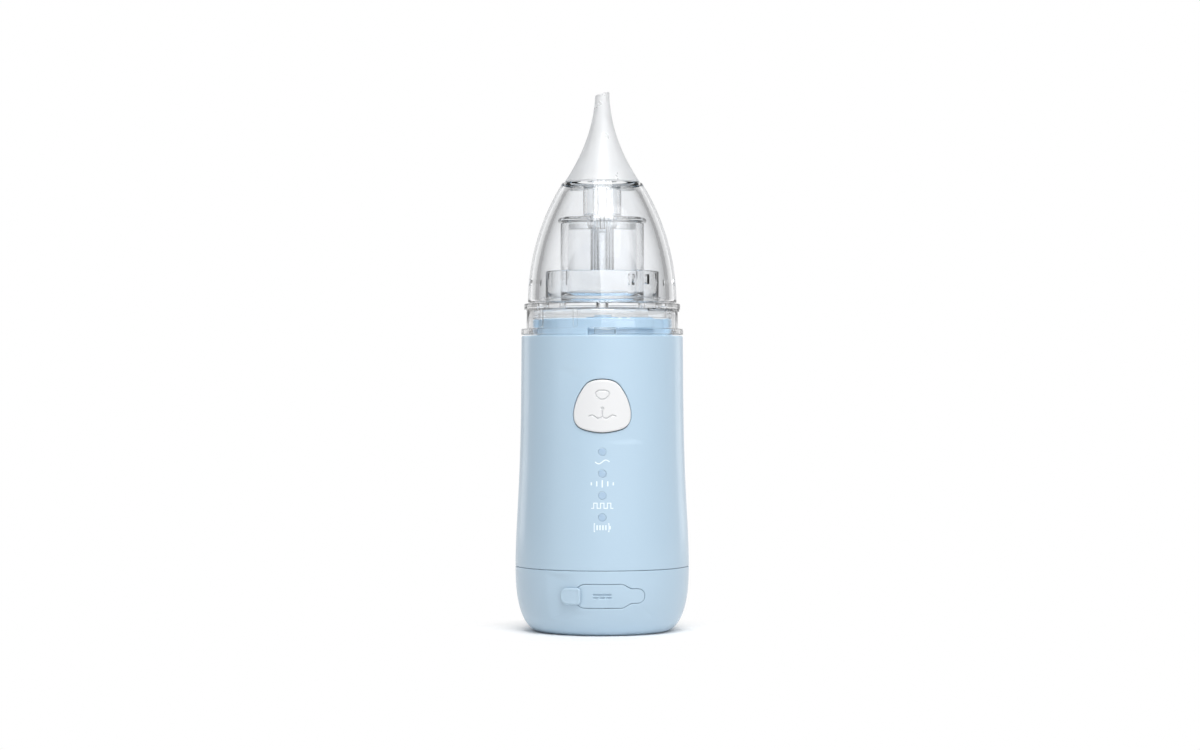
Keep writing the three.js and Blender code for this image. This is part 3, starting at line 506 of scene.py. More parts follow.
def base_cap():
    seam = PART_MIDDLE - PART_LINE
    port = rounded_box_outline(9.8, 4.0, 1.7, 0.1, PORT_HEIGHT)
    recess = [(flap_outline(), margin, depth) for margin, depth in (
        (1.5, 0), (0.7, 0), (0.36, 0), (0.2, 0.025), (0.12, 0.12), (0.1, 0.3), (0.1, 1.2), (-0.05, 1.4),
        (-0.4, 1.42))]
    socket_way = [(port, margin, depth) for margin, depth in (
        (0.5, 1.42), (0.15, 1.43), (0.02, 1.5), (0, 1.7), (0, 3.4), (0.2, 3.6), (1.2, 3.6), (1.4, 3.3),
        (1.5, 2.2))]
    opening = {"columns": 15, "from": 5.4, "to": 18.2, "steps": recess + socket_way}
    lip_outer = high("base_cap")
    lip_top = lip_outer.z
    lip = casing_radius(lip_top) - CASING_WALL - 0.3
    rim = cap_radius(seam)
    top_rim = [
        (rim, seam - 0.25), (rim - 0.03, seam - 0.09), (rim - 0.13, seam), (rim - 0.4, seam),
        (lip + 0.3, seam),
        (lip + 0.05, seam + 0.05), (lip, seam + 0.3), (lip, lip_top - 0.3), (lip - 0.3, lip_top),
        (lip - 1.7, lip_top), (lip - 2, lip_top - 0.3), (lip - 2, seam + 0.2), (lip - 1.7, seam - 0.2),
    ]
    curve = [(cap_radius(z), z) for z in (1.1, 0.8, 0.55, 0.35, 0.19, 0.08, 0.02)]
    foot_rim = curve + [
        (STAND_RADIUS - 0.1, 0), (STAND_RING + 0.4, 0), (STAND_RING + 0.1, 0.04), (STAND_RING - 0.1, 0.2),
        (STAND_RING - 0.45, 0.5), (STAND_RING - 0.7, 0.6), (13.5, 0.6), (0, 0.6), (0, 2.6), (19.5, 2.6),
    ]
    rows = rows_through(1.5, seam - 0.6, [(opening["from"], opening["to"], 14)], 0.8)
    piece = skin("bottom_cap", cap_radius, rows, top_rim, foot_rim, [opening])
    vents = [rounded_block(1.4, 8, 6, i * 2.8, 1, 1.5, 0.45) for i in range(-2, 3)]
    sinks = []
    for i in (1, 2, 3):
        centre = (low(f"cap_screw_{i}") + high(f"cap_screw_{i}")) / 2
        outline = [
            (0, -1), (2.85, -1), (2.85, 0.45), (2.75, 0.6), (2.75, 1.7, 0.1), (1.5, 1.8), (1.5, 4), (0, 4)
        ]
        sinks.append(moved(turned_shape(filleted(outline, False), 48), centre.x, centre.y))
    return combined(piece, vents + sinks, "DIFFERENCE")


TWIST = 54
LUG_SPAN = 16
LUG_START = -6
GROOVE_DEPTH = 1.3
TRACK_FROM = -11.5


def eased(value, edge):
    t = max(0.0, min(1.0, value / edge))
    return t * t * (3 - 2 * t)


def bayonet_depth(radius, height, turn):
    """How deep the neck's tracks are at a place: an L-shaped groove, three times round."""
    if radius < NECK_RADIUS - 0.5 or height < CASING_TOP:
        return radius
    across = (turn * 180 / pi + 20) % 120 - 20
    end = LUG_START + TWIST + LUG_SPAN + 1.5
    degree = NECK_RADIUS * pi / 180
    sideways = min(across - TRACK_FROM, end - across) * degree
    track = min(sideways, CASING_TOP + 1.9 - height)
    slot = min(across - (end - LUG_SPAN - 3), end - across) * degree
    deepest = max(track, slot)
    return radius - GROOVE_DEPTH * eased(deepest, 0.22)


def neck():
    top, underside = NECK_TOP, CASING_TOP - 2.3
    ceiling, inner = top - 2, NECK_RADIUS - 2.6
    rim = high("neck_plate").x
    inside = [(0, ceiling), (inner, ceiling), (inner, underside - 2), (rim, underside - 2), (rim, underside)]
    wall = [(NECK_RADIUS, z) for z in spread(underside, top - 0.35, 62)]
    edge = [(NECK_RADIUS - 0.04, top - 0.18), (NECK_RADIUS - 0.14, top - 0.05), (NECK_RADIUS - 0.34, top)]
    face = [(NECK_RADIUS - 2, top), (0, top)]
    piece = to_object("neck", turned_shape(inside + wall + edge + face, 432, bayonet_depth), 50)
    boss_top = high("neck_plate").z
    boss = [(0, top - 0.6), (4.85, top - 0.6), (4.85, boss_top, 0.55), (0, boss_top)]
    bosses = [turned_shape(filleted(boss, False), 72) for _ in range(2)]
    relief_x, relief_y = 10.5, 3.0
    moved(bosses[1], relief_x, relief_y)
    nipple = turned_shape(filleted([(0, 86), (2.4, 86, 0.2), (2.4, top - 1), (0, top - 1)], False), 48)
    combined(piece, bosses + [nipple], "UNION", 50)
    bore = turned_shape([
        (0, 80), (1.3, 80), (1.3, boss_top - 2.1), (3.1, boss_top - 2.1),
        (3.1, boss_top + 1), (0, boss_top + 1),
    ], 48)
    relief = moved(turned_shape([(0, 80), (1, 80), (1, 99), (0, 99)], 32), relief_x, relief_y)
    notch = rounded_block(1.2, 12, 1.4, relief_x - 2.5, relief_y, boss_top + 0.1, 0.1)
    return combined(piece, [bore, relief, notch], "DIFFERENCE", 50)


# ---- Button, windows, port cover ---------------------------------------------------------------


def distance_to(curve, x, z):
    """Shortest way from a place to an open run of points."""
    best = 1e9
    for (ax, az), (bx, bz) in zip(curve, curve[1:]):
        dx, dz = bx - ax, bz - az
        t = max(0.0, min(1.0, ((x - ax) * dx + (z - az) * dz) / (dx * dx + dz * dz)))
        best = min(best, hypot(x - ax - dx * t, z - az - dz * t))
    return best


def grooved(curves, width, depth):
    """A round-bottomed groove along each curve, as a depth at any place."""
    reach = max(abs(x) for curve in curves for x, _ in curve) + width
    heights = [z for curve in curves for _, z in curve]

    def depth_at(x, z):
        if abs(x) > reach or not min(heights) - width < z < max(heights) + width:
            return 0.0
        nearest = min(distance_to(curve, x, z) for curve in curves)
        return depth * (1 - eased(nearest, width)) if nearest < width else 0.0

    return depth_at


def muzzle_curves():
    """A nose, the line under it and a wavy mouth, for the face of the button."""
    nose_top, nose_foot, nose_half = 72.0, 69.4, 2.0
    nose = smooth_loop([
        (0, nose_top), (-0.65 * nose_half, nose_top - 0.15), (-nose_half, nose_top - 0.95),
        (-0.6 * nose_half, nose_foot + 0.45), (0, nose_foot), (0.6 * nose_half, nose_foot + 0.45),
        (nose_half, nose_top - 0.95), (0.65 * nose_half, nose_top - 0.15)], 5)
    nose.append(nose[0])
    half_mouth = [
        (0, 64.3), (0.45, 64.0), (1.2, 63.85), (1.9, 64.15), (2.6, 64.65), (3.2, 64.75), (3.8, 64.5)
    ]
    mouth = [(-x, z) for x, z in reversed(half_mouth[1:])] + half_mouth
    drop = [(0.28 * cos(a), 66.8 + 0.28 * sin(a)) for a in spread(0, 2 * pi, 10)]
    return [[tuple(p) for p in nose], [(0, 66.9), (0, 64.3)], rounded_run(mouth), drop]


def rounded_run(points, pieces=6):
    """The open run of points with its corners smoothed."""
    first, last = points[0], points[-1]
    run = []
    for i in range(len(points) - 1):
        a = Vector(points[i - 1] if i else first)
        b, c = Vector(points[i]), Vector(points[i + 1])
        d = Vector(points[i + 2] if i + 2 < len(points) else last)
        for step in range(pieces):
            t = step / pieces
            run.append(tuple(0.5 * (2 * b + (c - a) * t + (2 * a - 5 * b + 4 * c - d) * t * t
                                    + (3 * b - a - 3 * c + d) * t**3)))
    return run + [tuple(last)]


def pad(name, outline, centre, edge, rings, radius_at, back, front=0.0, relief=None, sharp=60):
    """A raised or flush cover on the casing: [margin, depth] edge points, then even rings inwards."""
    shape = bmesh.new()
    middle = Vector(centre)

    def ring(points, depth):
        corners = []
        for point in points:
            dip = relief(point.x, point.y) if relief else 0.0
            corners.append(shape.verts.new(wrapped(point.x, point.y, depth + dip, radius_at)))
        return corners

    loops = [ring(grown(outline, margin), depth) for margin, depth in edge]
    last = grown(outline, edge[-1][0])
    for share in spread(1, 0, rings)[1:-1]:
        loops.append(ring([middle + (point - middle) * share for point in last], front))
    loops.append([shape.verts.new(wrapped(middle.x, middle.y, front, radius_at))])
    for one, other in zip(loops, loops[1:]):
        bridge(shape, one, other)
    back_loops = [loops[0]] + [
        [shape.verts.new(wrapped(*(middle + (point - middle) * share), back, radius_at)) for point in outline]
        for share in (0.6, 0.25)
    ]
    back_loops.append([shape.verts.new(wrapped(middle.x, middle.y, back, radius_at))])
    for one, other in zip(back_loops, back_loops[1:]):
        bridge(shape, one, other)
    return to_object(name, shape, sharp)


def button():
    proud = 0.6
    edge = [
        (0, 3), (0, 1.5), (0, 0.2), (0, -0.1), (-0.03, -0.3), (-0.11, -0.43), (-0.24, -0.53), (-0.4, -0.58),
        (-0.6, -proud)
    ]
    relief = grooved(muzzle_curves(), 0.3, 0.3)
    return pad(
        "muzzle_button", dense(button_outline(), 0.2), (0, 67.4), edge, 72, casing_radius, 3, -proud, relief
    )


def port_strap():
    """The cover's strap: flush in its recess, with a generic direct-current mark sunk into it."""
    z = PORT_HEIGHT
    mark_left, mark_right = -2.6, 2.4
    dash = (mark_right - mark_left - 1.6) / 3
    bars = [[(mark_left, z + 0.45), (mark_right, z + 0.45)]]
    bars += [
        [(mark_left + i * (dash + 0.8), z - 0.45), (mark_left + i * (dash + 0.8) + dash, z - 0.45)]
        for i in range(3)
    ]
    edge = [(-0.02, 1.15), (0, 1.0), (0, 0.2), (-0.04, 0.07), (-0.14, 0.01), (-0.3, 0)]
    outline = dense(flap_outline(), 0.22)
    return pad("port_strap", outline, (1.0, z), edge, 44, cap_radius, 1.15, 0.0, grooved(bars, 0.42, 0.4))


def pull_tab():
    proud = 1.0
    edge = [
        (-0.35, 0.25), (-0.12, -0.03), (0, -0.18), (0, -0.55), (-0.07, -0.78), (-0.22, -0.93),
        (-0.42, -proud), (-0.7, -proud)
    ]
    return pad(
        "pull_tab", tab_outline(), ((TAB_LEFT + TAB_RIGHT) / 2, PORT_HEIGHT), edge, 12, cap_radius, 0.25,
        -0.94
    )


def port_plug():
    back = -cap_radius(PORT_HEIGHT) + 1.1
    shape = rounded_block(7.7, 2.4, 2.6, -0.25, back + 1.1, PORT_HEIGHT, 0.5)
    return to_object("port_plug", shape)


def window_pipe():
    """Four round windows, flush with the casing, on one bar behind them."""
    bar_low, bar_high = low("light_pipe"), high("light_pipe")
    bar_depth = 1.5
    bar = rounded_block(
        3.2, bar_depth, bar_high.z - bar_low.z, 0, bar_high.y - bar_depth / 2, (bar_high.z + bar_low.z) / 2
    )
    piece = to_object("window_pipe", bar)
    pins = []
    for z in WINDOWS:
        front = casing_radius(z) - 0.03
        length = front + bar_high.y - 0.5
        outline = [(0, 0), (WINDOW_RADIUS, 0), (WINDOW_RADIUS, length, 0.12), (0, length + 0.02)]
        pin = turned_shape(filleted(outline, False), 40)
        bmesh.ops.rotate(pin, verts=pin.verts, matrix=Matrix.Rotation(pi / 2, 3, "X"))
        pins.append(moved(pin, 0, -front + length, z))
    return combined(piece, pins, "UNION")


# ---- Clear head --------------------------------------------------------------------------------


def arc_bar(inner, outer, start, end, foot, top, fillet=0.15):
    """A bar bent round Z between two turns in degrees, counted from +X, with softened edges."""
    shape = bmesh.new()
    steps = max(4, round(abs(end - start) / 3))
    section = filleted(
        [(inner, foot, fillet), (outer, foot, fillet), (outer, top, fillet), (inner, top, fillet)], steps=3
    )
    middle_radius, middle_height = (inner + outer) / 2, (foot + top) / 2
    rings = []
    ends = [0.0, fillet * 0.3, fillet]
    length = radians(abs(end - start)) * middle_radius
    stations = [e / length for e in ends] + spread(fillet / length, 1 - fillet / length, steps)[1:-1]
    stations += [1 - e / length for e in reversed(ends)]
    for station in stations:
        turn = radians(start + (end - start) * station)
        inset = fillet - min(fillet, min(station, 1 - station) * length)
        shrink = fillet - sqrt(max(0.0, fillet**2 - inset**2))
        ring = []
        for radius, height in section:
            r = middle_radius + (radius - middle_radius) * (1 - shrink / ((outer - inner) / 2))
            z = middle_height + (height - middle_height) * (1 - shrink / ((top - foot) / 2))
            ring.append(shape.verts.new((r * cos(turn) * MM, r * sin(turn) * MM, z * MM)))
        rings.append(ring)
    for one, other in zip(rings, rings[1:]):
        bridge(shape, one, other)
    shape.faces.new(rings[0])
    shape.faces.new(rings[-1])
    return shape


def drilled(radius, distance, turn, foot, top, sides=32):
    """A round hole's cutter at a distance from the axis and a turn in degrees from +X."""
    hole = turned_shape([(0, foot), (radius, foot), (radius, top), (0, top)], sides)
    return moved(hole, distance * cos(radians(turn)), distance * sin(radians(turn)))


HEAD_SIDES = 192
FLANGE_FOOT = low("cup_gasket").z - 0.3 + 2.8
FLANGE_TOP = CUP_FOOT - 0.3
SKIRT_INNER = NECK_RADIUS + 0.4
SKIRT_RADIUS = 22.7
FLANGE_RADIUS = 23.4
CRADLE_RADIUS = 17.0
CRADLE_INNER = 15.5


def cup_base():
    """The screw-on floor of the head: lip, skirt, flange, a cradle for the cup, and three lugs."""
    outline = [
        (1.3, FLANGE_FOOT), (SKIRT_INNER, FLANGE_FOOT, 0.25), (SKIRT_INNER, LIP_FOOT, 0.15),
        (LIP_RADIUS, LIP_FOOT, 0.3),
        (LIP_RADIUS, LIP_FOOT + 1.8, 0.35), (SKIRT_RADIUS, LIP_FOOT + 1.8, 0.3),
        (SKIRT_RADIUS, FLANGE_FOOT, 0.2),
        (FLANGE_RADIUS, FLANGE_FOOT, 0.3), (FLANGE_RADIUS, FLANGE_TOP, 0.35),
        (CRADLE_RADIUS, FLANGE_TOP, 0.3),
        (CRADLE_RADIUS, CRADLE_TOP, 0.35), (CRADLE_INNER, CRADLE_TOP, 0.3), (CRADLE_INNER, FLANGE_TOP, 0.3),
        (1.3, FLANGE_TOP, 0.2),
    ]
    piece = turned("head_base", outline, HEAD_SIDES)
    lug_inner, lug_foot = NECK_RADIUS - GROOVE_DEPTH + 0.3, CASING_TOP + 0.6
    lug_starts = [120 * i - 90 + LUG_START for i in range(3)]
    bars = [
        arc_bar(lug_inner, SKIRT_INNER + 0.4, start, start + LUG_SPAN, lug_foot, lug_foot + 1, 0.2)
        for start in lug_starts
    ]
    bars.append(
        arc_bar(SKIRT_RADIUS - 0.5, FLANGE_RADIUS, -54, -10, FLANGE_FOOT - 0.7, FLANGE_FOOT + 0.4, 0.25)
    )
    rib_inner, rib_outer = SKIRT_INNER - 0.28, SKIRT_INNER + 0.3
    bars += [
        arc_bar(rib_inner, rib_outer, turn - 1.7, turn + 1.7, LIP_FOOT + 2.2, FLANGE_FOOT + 0.3, 0.1)
        for turn in (-90 - 55, -90 - 21.5)
    ]
    combined(piece, bars, "UNION")
    holes = [
        drilled(0.9, (12.5 + CRADLE_INNER) / 2, 45 + 90 * i, FLANGE_FOOT - 1, FLANGE_TOP + 1)
        for i in range(4)
    ]
    for turn, width, height in ((182, 1, 4.2), (-40, 1, 2.9), (-60, 1.5, 3.2)):
        slot = rounded_block(4, width, height, CRADLE_RADIUS - 1, 0, CRADLE_TOP - 1.1 - height / 2, 0.15)
        bmesh.ops.rotate(slot, verts=slot.verts, matrix=Matrix.Rotation(radians(turn), 3, "Z"))
        holes.append(slot)
    return combined(piece, holes, "DIFFERENCE")


def seal(name, node):
    """A soft ring with a rounded section that fills its node's height."""
    outer, foot, top = high(node).x, low(node).z, high(node).z
    inner = {"cup_gasket": NECK_RADIUS - 2, "dome_seal": CRADLE_RADIUS + 0.3}[node]
    return turned(
        name, [(inner, foot, 0.35), (outer, foot, 0.35), (outer, top, 0.4), (inner, top, 0.4)], HEAD_SIDES
    )


def mucus_cup():
    inner = CUP_RADIUS - 2.1
    outline = [
        (0, CUP_FOOT), (CUP_RADIUS, CUP_FOOT, 0.7), (CUP_RADIUS, CUP_TOP, 0.35), (inner, CUP_TOP, 0.35),
        (inner, CUP_FOOT + 2.3, 0.7), (inner - 1, CUP_FOOT + 1.5, 0.5), (0, CUP_FOOT + 1.5),
    ]
    return turned("mucus_cup", outline, HEAD_SIDES)


def splash_lid():
    """The cup's lid: a plug, a disc, a collar above and a sleeve round the inlet tube below."""
    plug, plug_foot, rest = high("collection_cup").x - 2.4, CUP_TOP - 2.3, CUP_TOP + 0.3
    top, collar_top, rim = rest + 1.2, high("splash_lid").z, high("splash_lid").x
    outline = [
        (3.0, INLET_TIP + 0.3, 0.12), (3.5, INLET_TIP + 0.3, 0.15), (3.5, plug_foot + 0.6, 0.2),
        (plug - 1, plug_foot, 0.2), (plug, plug_foot, 0.3), (plug, rest, 0.15), (rim, rest, 0.2),
        (rim, top - 0.5, 0.25),
        (rim - 0.6, top, 0.3), (6.1, top + 0.5, 0.4), (5.7, top + 1, 0.3), (5.7, collar_top, 0.3),
        (4.6, collar_top, 0.3),
        (4.6, top + 0.3, 0.3), (3.15, top + 0.2, 0.2), (3.15, plug_foot + 1.2, 0.1),
        (3.0, plug_foot + 0.9, 0.1),
    ]
    piece = turned("cup_lid", outline, HEAD_SIDES)
    vents = [drilled(0.7, plug - 0.9, 90 * i, plug_foot - 1, top + 1) for i in range(4)]
    return combined(piece, vents, "DIFFERENCE")


def dome():
    """The outer dome with its spigot for the nozzle and, hanging inside, the inlet tube."""
    ceiling = DOME_HEIGHT - 1.9
    neck_down = CUP_TOP - DOME_FOOT - 0.2
    spigot_top = SPIGOT_TOP - DOME_FOOT

    def spigot(height):
        return nozzle_inside(height - DOME_HEIGHT - 0.3) - 0.3

    outline = [(dome_radius(h), h) for h in spread(0.3, DOME_HEIGHT - 0.45, 40)]
    outline += [
        (dome_radius(DOME_HEIGHT), DOME_HEIGHT, 0.2),
        (spigot(DOME_HEIGHT + 0.3) + 0.05, DOME_HEIGHT + 0.02, 0.25)
    ]
    outline += [(spigot(h), h) for h in spread(DOME_HEIGHT + 0.5, spigot_top - 0.5, 8)]
    outline += [
        (spigot(spigot_top), spigot_top, 0.4), (spigot(spigot_top) - 1.4, spigot_top, 0.5),
        (2.3, DOME_HEIGHT + 3.4, 0.8),
        (1.8, DOME_HEIGHT + 1.2, 0.8), (1.25, DOME_HEIGHT, 0.8), (1.25, INLET_TIP - DOME_FOOT, 0.15),
        (2.45, INLET_TIP - DOME_FOOT, 0.25), (2.45, neck_down, 0.3), (2.8, neck_down + 0.6, 0.3),
        (2.8, ceiling, 0.6),
    ]
    outline += [(dome_radius(ceiling) - DOME_WALL - 0.2, ceiling, 0.5)]
    outline += [(dome_radius(h) - DOME_WALL, h) for h in spread(ceiling - 1.2, 0.3, 34)]
    outline += [
        (dome_radius(0) - DOME_WALL + 0.12, 0.08), (dome_radius(0) - DOME_WALL + 0.35, 0),
        (dome_radius(0) - 0.3, 0), (dome_radius(0) - 0.08, 0.08)
    ]
    outline = [(point[0], point[1] + DOME_FOOT, *point[2:]) for point in outline]
    piece = turned("dome", outline, HEAD_SIDES)
    wide = [
        rounded_block(5, 2, 1.8, side * (DOME_RADIUS - DOME_WALL + 1.6), 0, DOME_FOOT + 6, 0.15)
        for side in (-1, 1)
    ]
    return combined(piece, wide, "DIFFERENCE")


def nozzle():
    """The soft cone: its rim is rounded at the foot, and its tip is cut on a slant and rounded."""
    slant = 0.28
    cut_low, rounding = NOZZLE_TIP_RADIUS * slant, 0.4
    outer = [(nozzle_radius(h), h) for h in spread(0.35, NOZZLE_HEIGHT - 1.6, 60)]
    inner = [(nozzle_inside(h), h) for h in spread(NOZZLE_HEIGHT - 1.6, 0.3, 60)]
    tip_outer, tip_inner = NOZZLE_TIP_RADIUS, NOZZLE_BORE
    middle = (tip_outer + tip_inner) / 2
    reach = (tip_outer - tip_inner) / 2
    top = [
        (middle + reach * cos(pi * t), NOZZLE_HEIGHT - rounding + rounding * sin(pi * t))
        for t in spread(0, 1, 10)
    ]
    foot_inner = NOZZLE_FOOT_RADIUS - NOZZLE_WALL
    foot = [
        (foot_inner + 0.1, 0.1), (foot_inner + 0.3, 0), (NOZZLE_FOOT_RADIUS - 0.35, 0),
        (NOZZLE_FOOT_RADIUS - 0.1, 0.1)
    ]
    shape = turned_shape([(r, h) for r, h in outer + top + inner + foot], 128)
    for corner in shape.verts:
        height = corner.co.z / MM
        share = eased(height - (NOZZLE_HEIGHT - 7), 7)
        corner.co.z += share * (slant * corner.co.x - cut_low * MM)
        corner.co.z += NOZZLE_FOOT * MM
    return to_object("nozzle_cone", shape)


# ---- Materials: shared effects -----------------------------------------------------------------


class Maker:
    """Adds nodes to a tree from left to right, and joins them by name."""

    def __init__(self, tree):
        self.tree = tree

    def add(self, kind, **settings):
        node = self.tree.nodes.new(kind)
        node.location = (200 * (len(self.tree.nodes) % 8), -180 * (len(self.tree.nodes) // 8))
        for name, value in settings.items():
            setattr(node, name, value)
        return node

    def put(self, source, target):
        """Feeds a socket from another socket, or sets it to a plain value."""
        if isinstance(source, bpy.types.NodeSocket):
            self.tree.links.new(source, target)
        elif source is not None:
            target.default_value = source

    def noise(self, place, scale, detail=3.0, roughness=0.5):
        node = self.add("ShaderNodeTexNoise")
        self.put(place, node.inputs["Vector"])
        for name, value in (("Scale", scale), ("Detail", detail), ("Roughness", roughness)):
            self.put(value, node.inputs[name])
        return node.outputs["Fac"]

    def cells(self, place, scale, feature="F1"):
        node = self.add("ShaderNodeTexVoronoi", feature=feature)
        self.put(place, node.inputs["Vector"])
        self.put(scale, node.inputs["Scale"])
        return node.outputs["Distance"]

    def waves(self, place, scale, direction="Z", distortion=0.0):
        node = self.add("ShaderNodeTexWave", bands_direction=direction)
        self.put(place, node.inputs["Vector"])
        self.put(scale, node.inputs["Scale"])
        self.put(distortion, node.inputs["Distortion"])
        return node.outputs["Fac"]

    def band(self, value, low_in, high_in, low_out=0.0, high_out=1.0):
        node = self.add("ShaderNodeMapRange")
        for name, source in (("Value", value), ("From Min", low_in), ("From Max", high_in),
                             ("To Min", low_out), ("To Max", high_out)):
            self.put(source, node.inputs[name])
        return node.outputs["Result"]

    def sum(self, operation, one, other):
        node = self.add("ShaderNodeMath", operation=operation)
        self.put(one, node.inputs[0])
        self.put(other, node.inputs[1])
        return node.outputs[0]

    def mixed(self, share, one, other, blend="MIX"):
        node = self.add("ShaderNodeMix", data_type="RGBA", blend_type=blend)
        self.put(share, node.inputs["Factor"])
        self.put(one, node.inputs["A"])
        self.put(other, node.inputs["B"])
        return node.outputs["Result"]

    def bump(self, height, strength, distance, under=None):
        node = self.add("ShaderNodeBump")
        self.put(height, node.inputs["Height"])
        self.put(strength, node.inputs["Strength"])
        self.put(distance, node.inputs["Distance"])
        if under is not None:
            self.put(under, node.inputs["Normal"])
        return node.outputs["Normal"]

    def position(self):
        return self.add("ShaderNodeTexCoord").outputs["Object"]


def effect(name, inputs, outputs, build):
    """A shader node group. Inputs are [name, kind, default]; build returns a socket for each output."""
    tree = bpy.data.node_groups.new(name, "ShaderNodeTree")
    maker = Maker(tree)
    for label, kind, default in inputs:
        socket = tree.interface.new_socket(label, in_out="INPUT", socket_type=f"NodeSocket{kind}")
        socket.default_value = default
    for label, kind in outputs:
        tree.interface.new_socket(label, in_out="OUTPUT", socket_type=f"NodeSocket{kind}")
    given = maker.add("NodeGroupInput")
    result = maker.add("NodeGroupOutput")
    made = build(maker, {label: given.outputs[label] for label, _, _ in inputs})
    for (label, _), socket in zip(outputs, made):
        maker.put(socket, result.inputs[label])
    return tree


def moulded_surface(make, given):
    """Injection-moulded plastic: an eroded satin grain, slow waviness, and a little uneven gloss."""
    place = make.position()
    grain = make.noise(place, given["Grain Size"], 4.0, 0.62)
    pits = make.cells(place, given["Grain Size"], "SMOOTH_F1")
    wavy = make.noise(place, 60.0, 2.0, 0.4)
    fine = make.bump(make.sum("ADD", grain, make.sum("MULTIPLY", pits, 0.5)), given["Grain Depth"], 0.00012)
    surface = make.bump(wavy, 0.05, 0.0006, fine)
    handled = make.band(make.noise(place, 95.0, 5.0, 0.6), 0.35, 0.7)
    gloss = make.band(grain, 0.3, 0.7, -0.04, 0.05)
    rough = make.sum(
        "ADD", given["Roughness"], make.sum("ADD", gloss, make.sum("MULTIPLY", handled, given["Wear"]))
    )
    cloud = make.band(make.noise(place, 35.0, 3.0, 0.5), 0.3, 0.7, -1.0, 1.0)
    deeper = make.mixed(
        make.band(cloud, -1.0, 1.0, 0.0, given["Cloudiness"]), given["Colour"], (0.8, 0.86, 0.92, 1),
        "MULTIPLY"
    )
    return deeper, rough, surface


def dust_and_crease_shade(make, given):
    """Fine dust on what faces up, and painted shade that ambient occlusion draws into creases."""
    facing = make.add("ShaderNodeNewGeometry").outputs["Normal"]
    split = make.add("ShaderNodeSeparateXYZ")
    make.put(facing, split.inputs[0])
    up = make.band(split.outputs["Z"], 0.3, 1.0)
    specks = make.band(make.noise(make.position(), 900.0, 6.0, 0.7), 0.52, 0.66)
    film = make.sum("MULTIPLY", make.sum("MULTIPLY", up, specks), given["Dust"])
    # Painted shade: ambient occlusion darkens the colour towards grey-blue in creases and recesses.
    crease = make.add("ShaderNodeAmbientOcclusion", samples=6, only_local=False)
    crease.inputs["Distance"].default_value = 0.0012
    grime = make.band(crease.outputs["AO"], 0.35, 0.8, given["Grime"], 0.0)
    dusty = make.mixed(film, given["Colour"], (0.78, 0.78, 0.76, 1))
    dusty_and_shaded = make.mixed(grime, dusty, (0.32, 0.36, 0.4, 1), "MULTIPLY")
    return dusty_and_shaded, make.sum("ADD", film, grime)


def scratched(make, given):
    """Hairline scratches in two directions, as a mask and a bump."""
    place = make.position()
    masks = []
    for turn, seed in ((0.4, 13.0), (-0.9, 41.0), (1.35, 77.0)):
        mapping = make.add("ShaderNodeMapping")
        make.put(place, mapping.inputs["Vector"])
        mapping.inputs["Rotation"].default_value = (turn, turn * 0.6, turn * 1.7)
        mapping.inputs["Location"].default_value = (seed, seed * 0.3, seed * 0.7)
        mapping.inputs["Scale"].default_value = (1.0, 26.0, 26.0)
        masks.append(make.band(make.noise(mapping.outputs["Vector"], 55.0, 2.0, 0.5), 0.735, 0.76))
    mask = make.sum("MAXIMUM", make.sum("MAXIMUM", masks[0], masks[1]), masks[2])
    shown = make.sum("MULTIPLY", mask, given["Amount"])
    return shown, make.bump(shown, 0.25, 0.00005, given["Normal"])


def brushed_grain(make, given):
    """Fine parallel lines in drawn or rolled metal, as a value and a bump."""
    mapping = make.add("ShaderNodeMapping")
    make.put(make.position(), mapping.inputs["Vector"])
    make.put(given["Stretch"], mapping.inputs["Scale"])
    lines = make.noise(mapping.outputs["Vector"], 320.0, 4.0, 0.7)
    return lines, make.bump(lines, 0.2, 0.00006)


def soft_skin(make, given):
    """Moulded silicone: a soft haze, faint flow clouds and dust specks that it picks up."""
    place = make.position()
    cloud = make.noise(place, 130.0, 4.0, 0.55)
    fine = make.noise(place, 2600.0, 3.0, 0.6)
    surface = make.bump(fine, 0.1, 0.00006, make.bump(cloud, 0.08, 0.0005))
    specks = make.band(make.cells(place, 700.0), 0.0, 0.09, 1.0, 0.0)
    rough = make.sum("ADD", given["Roughness"], make.band(cloud, 0.3, 0.7, -0.05, 0.07))
    tint = make.mixed(make.band(cloud, 0.35, 0.65, 0.0, 0.5), given["Colour"], given["Second Colour"])
    return tint, rough, specks, surface


MOULDED = effect(
    "moulded_plastic",
    [("Colour", "Color", (0.5, 0.5, 0.5, 1)), ("Roughness", "Float", 0.4), ("Wear", "Float", 0.05),
     ("Cloudiness", "Float", 0.08), ("Grain Size", "Float", 1800.0), ("Grain Depth", "Float", 0.15)],
    [("Colour", "Color"), ("Roughness", "Float"), ("Normal", "Vector")], moulded_surface)
# Dust on what faces up, and painted shade in creases.
DUST_AND_SHADE = effect(
    "dust_and_painted_crease_shade",
    [("Colour", "Color", (0.5, 0.5, 0.5, 1)), ("Dust", "Float", 0.1), ("Grime", "Float", 0.3)],
    [("Colour", "Color"), ("Amount", "Float")], dust_and_crease_shade)
SCRATCHES = effect(
    "hairline_scratches", [("Amount", "Float", 0.3), ("Normal", "Vector", (0, 0, 0))],
    [("Mask", "Float"), ("Normal", "Vector")], scratched)
BRUSHED = effect(
    "brushed_metal_grain", [("Stretch", "Vector", (1, 1, 12))], [("Lines", "Float"), ("Normal", "Vector")],
    brushed_grain)
SILICONE = effect(
    "silicone_skin",
    [("Colour", "Color", (0.8, 0.8, 0.8, 1)), ("Second Colour", "Color", (0.7, 0.7, 0.7, 1)),
    ("Roughness", "Float", 0.4)],
    [("Colour", "Color"), ("Roughness", "Float"), ("Specks", "Float"), ("Normal", "Vector")], soft_skin)


def use(make, group, **values):
    """Places an effect in a material; a value with no socket to feed it is set on its input."""
    node = make.add("ShaderNodeGroup", node_tree=group)
    for name, value in values.items():
        make.put(value, node.inputs[name.replace("_", " ").title()])
    return node.outputs


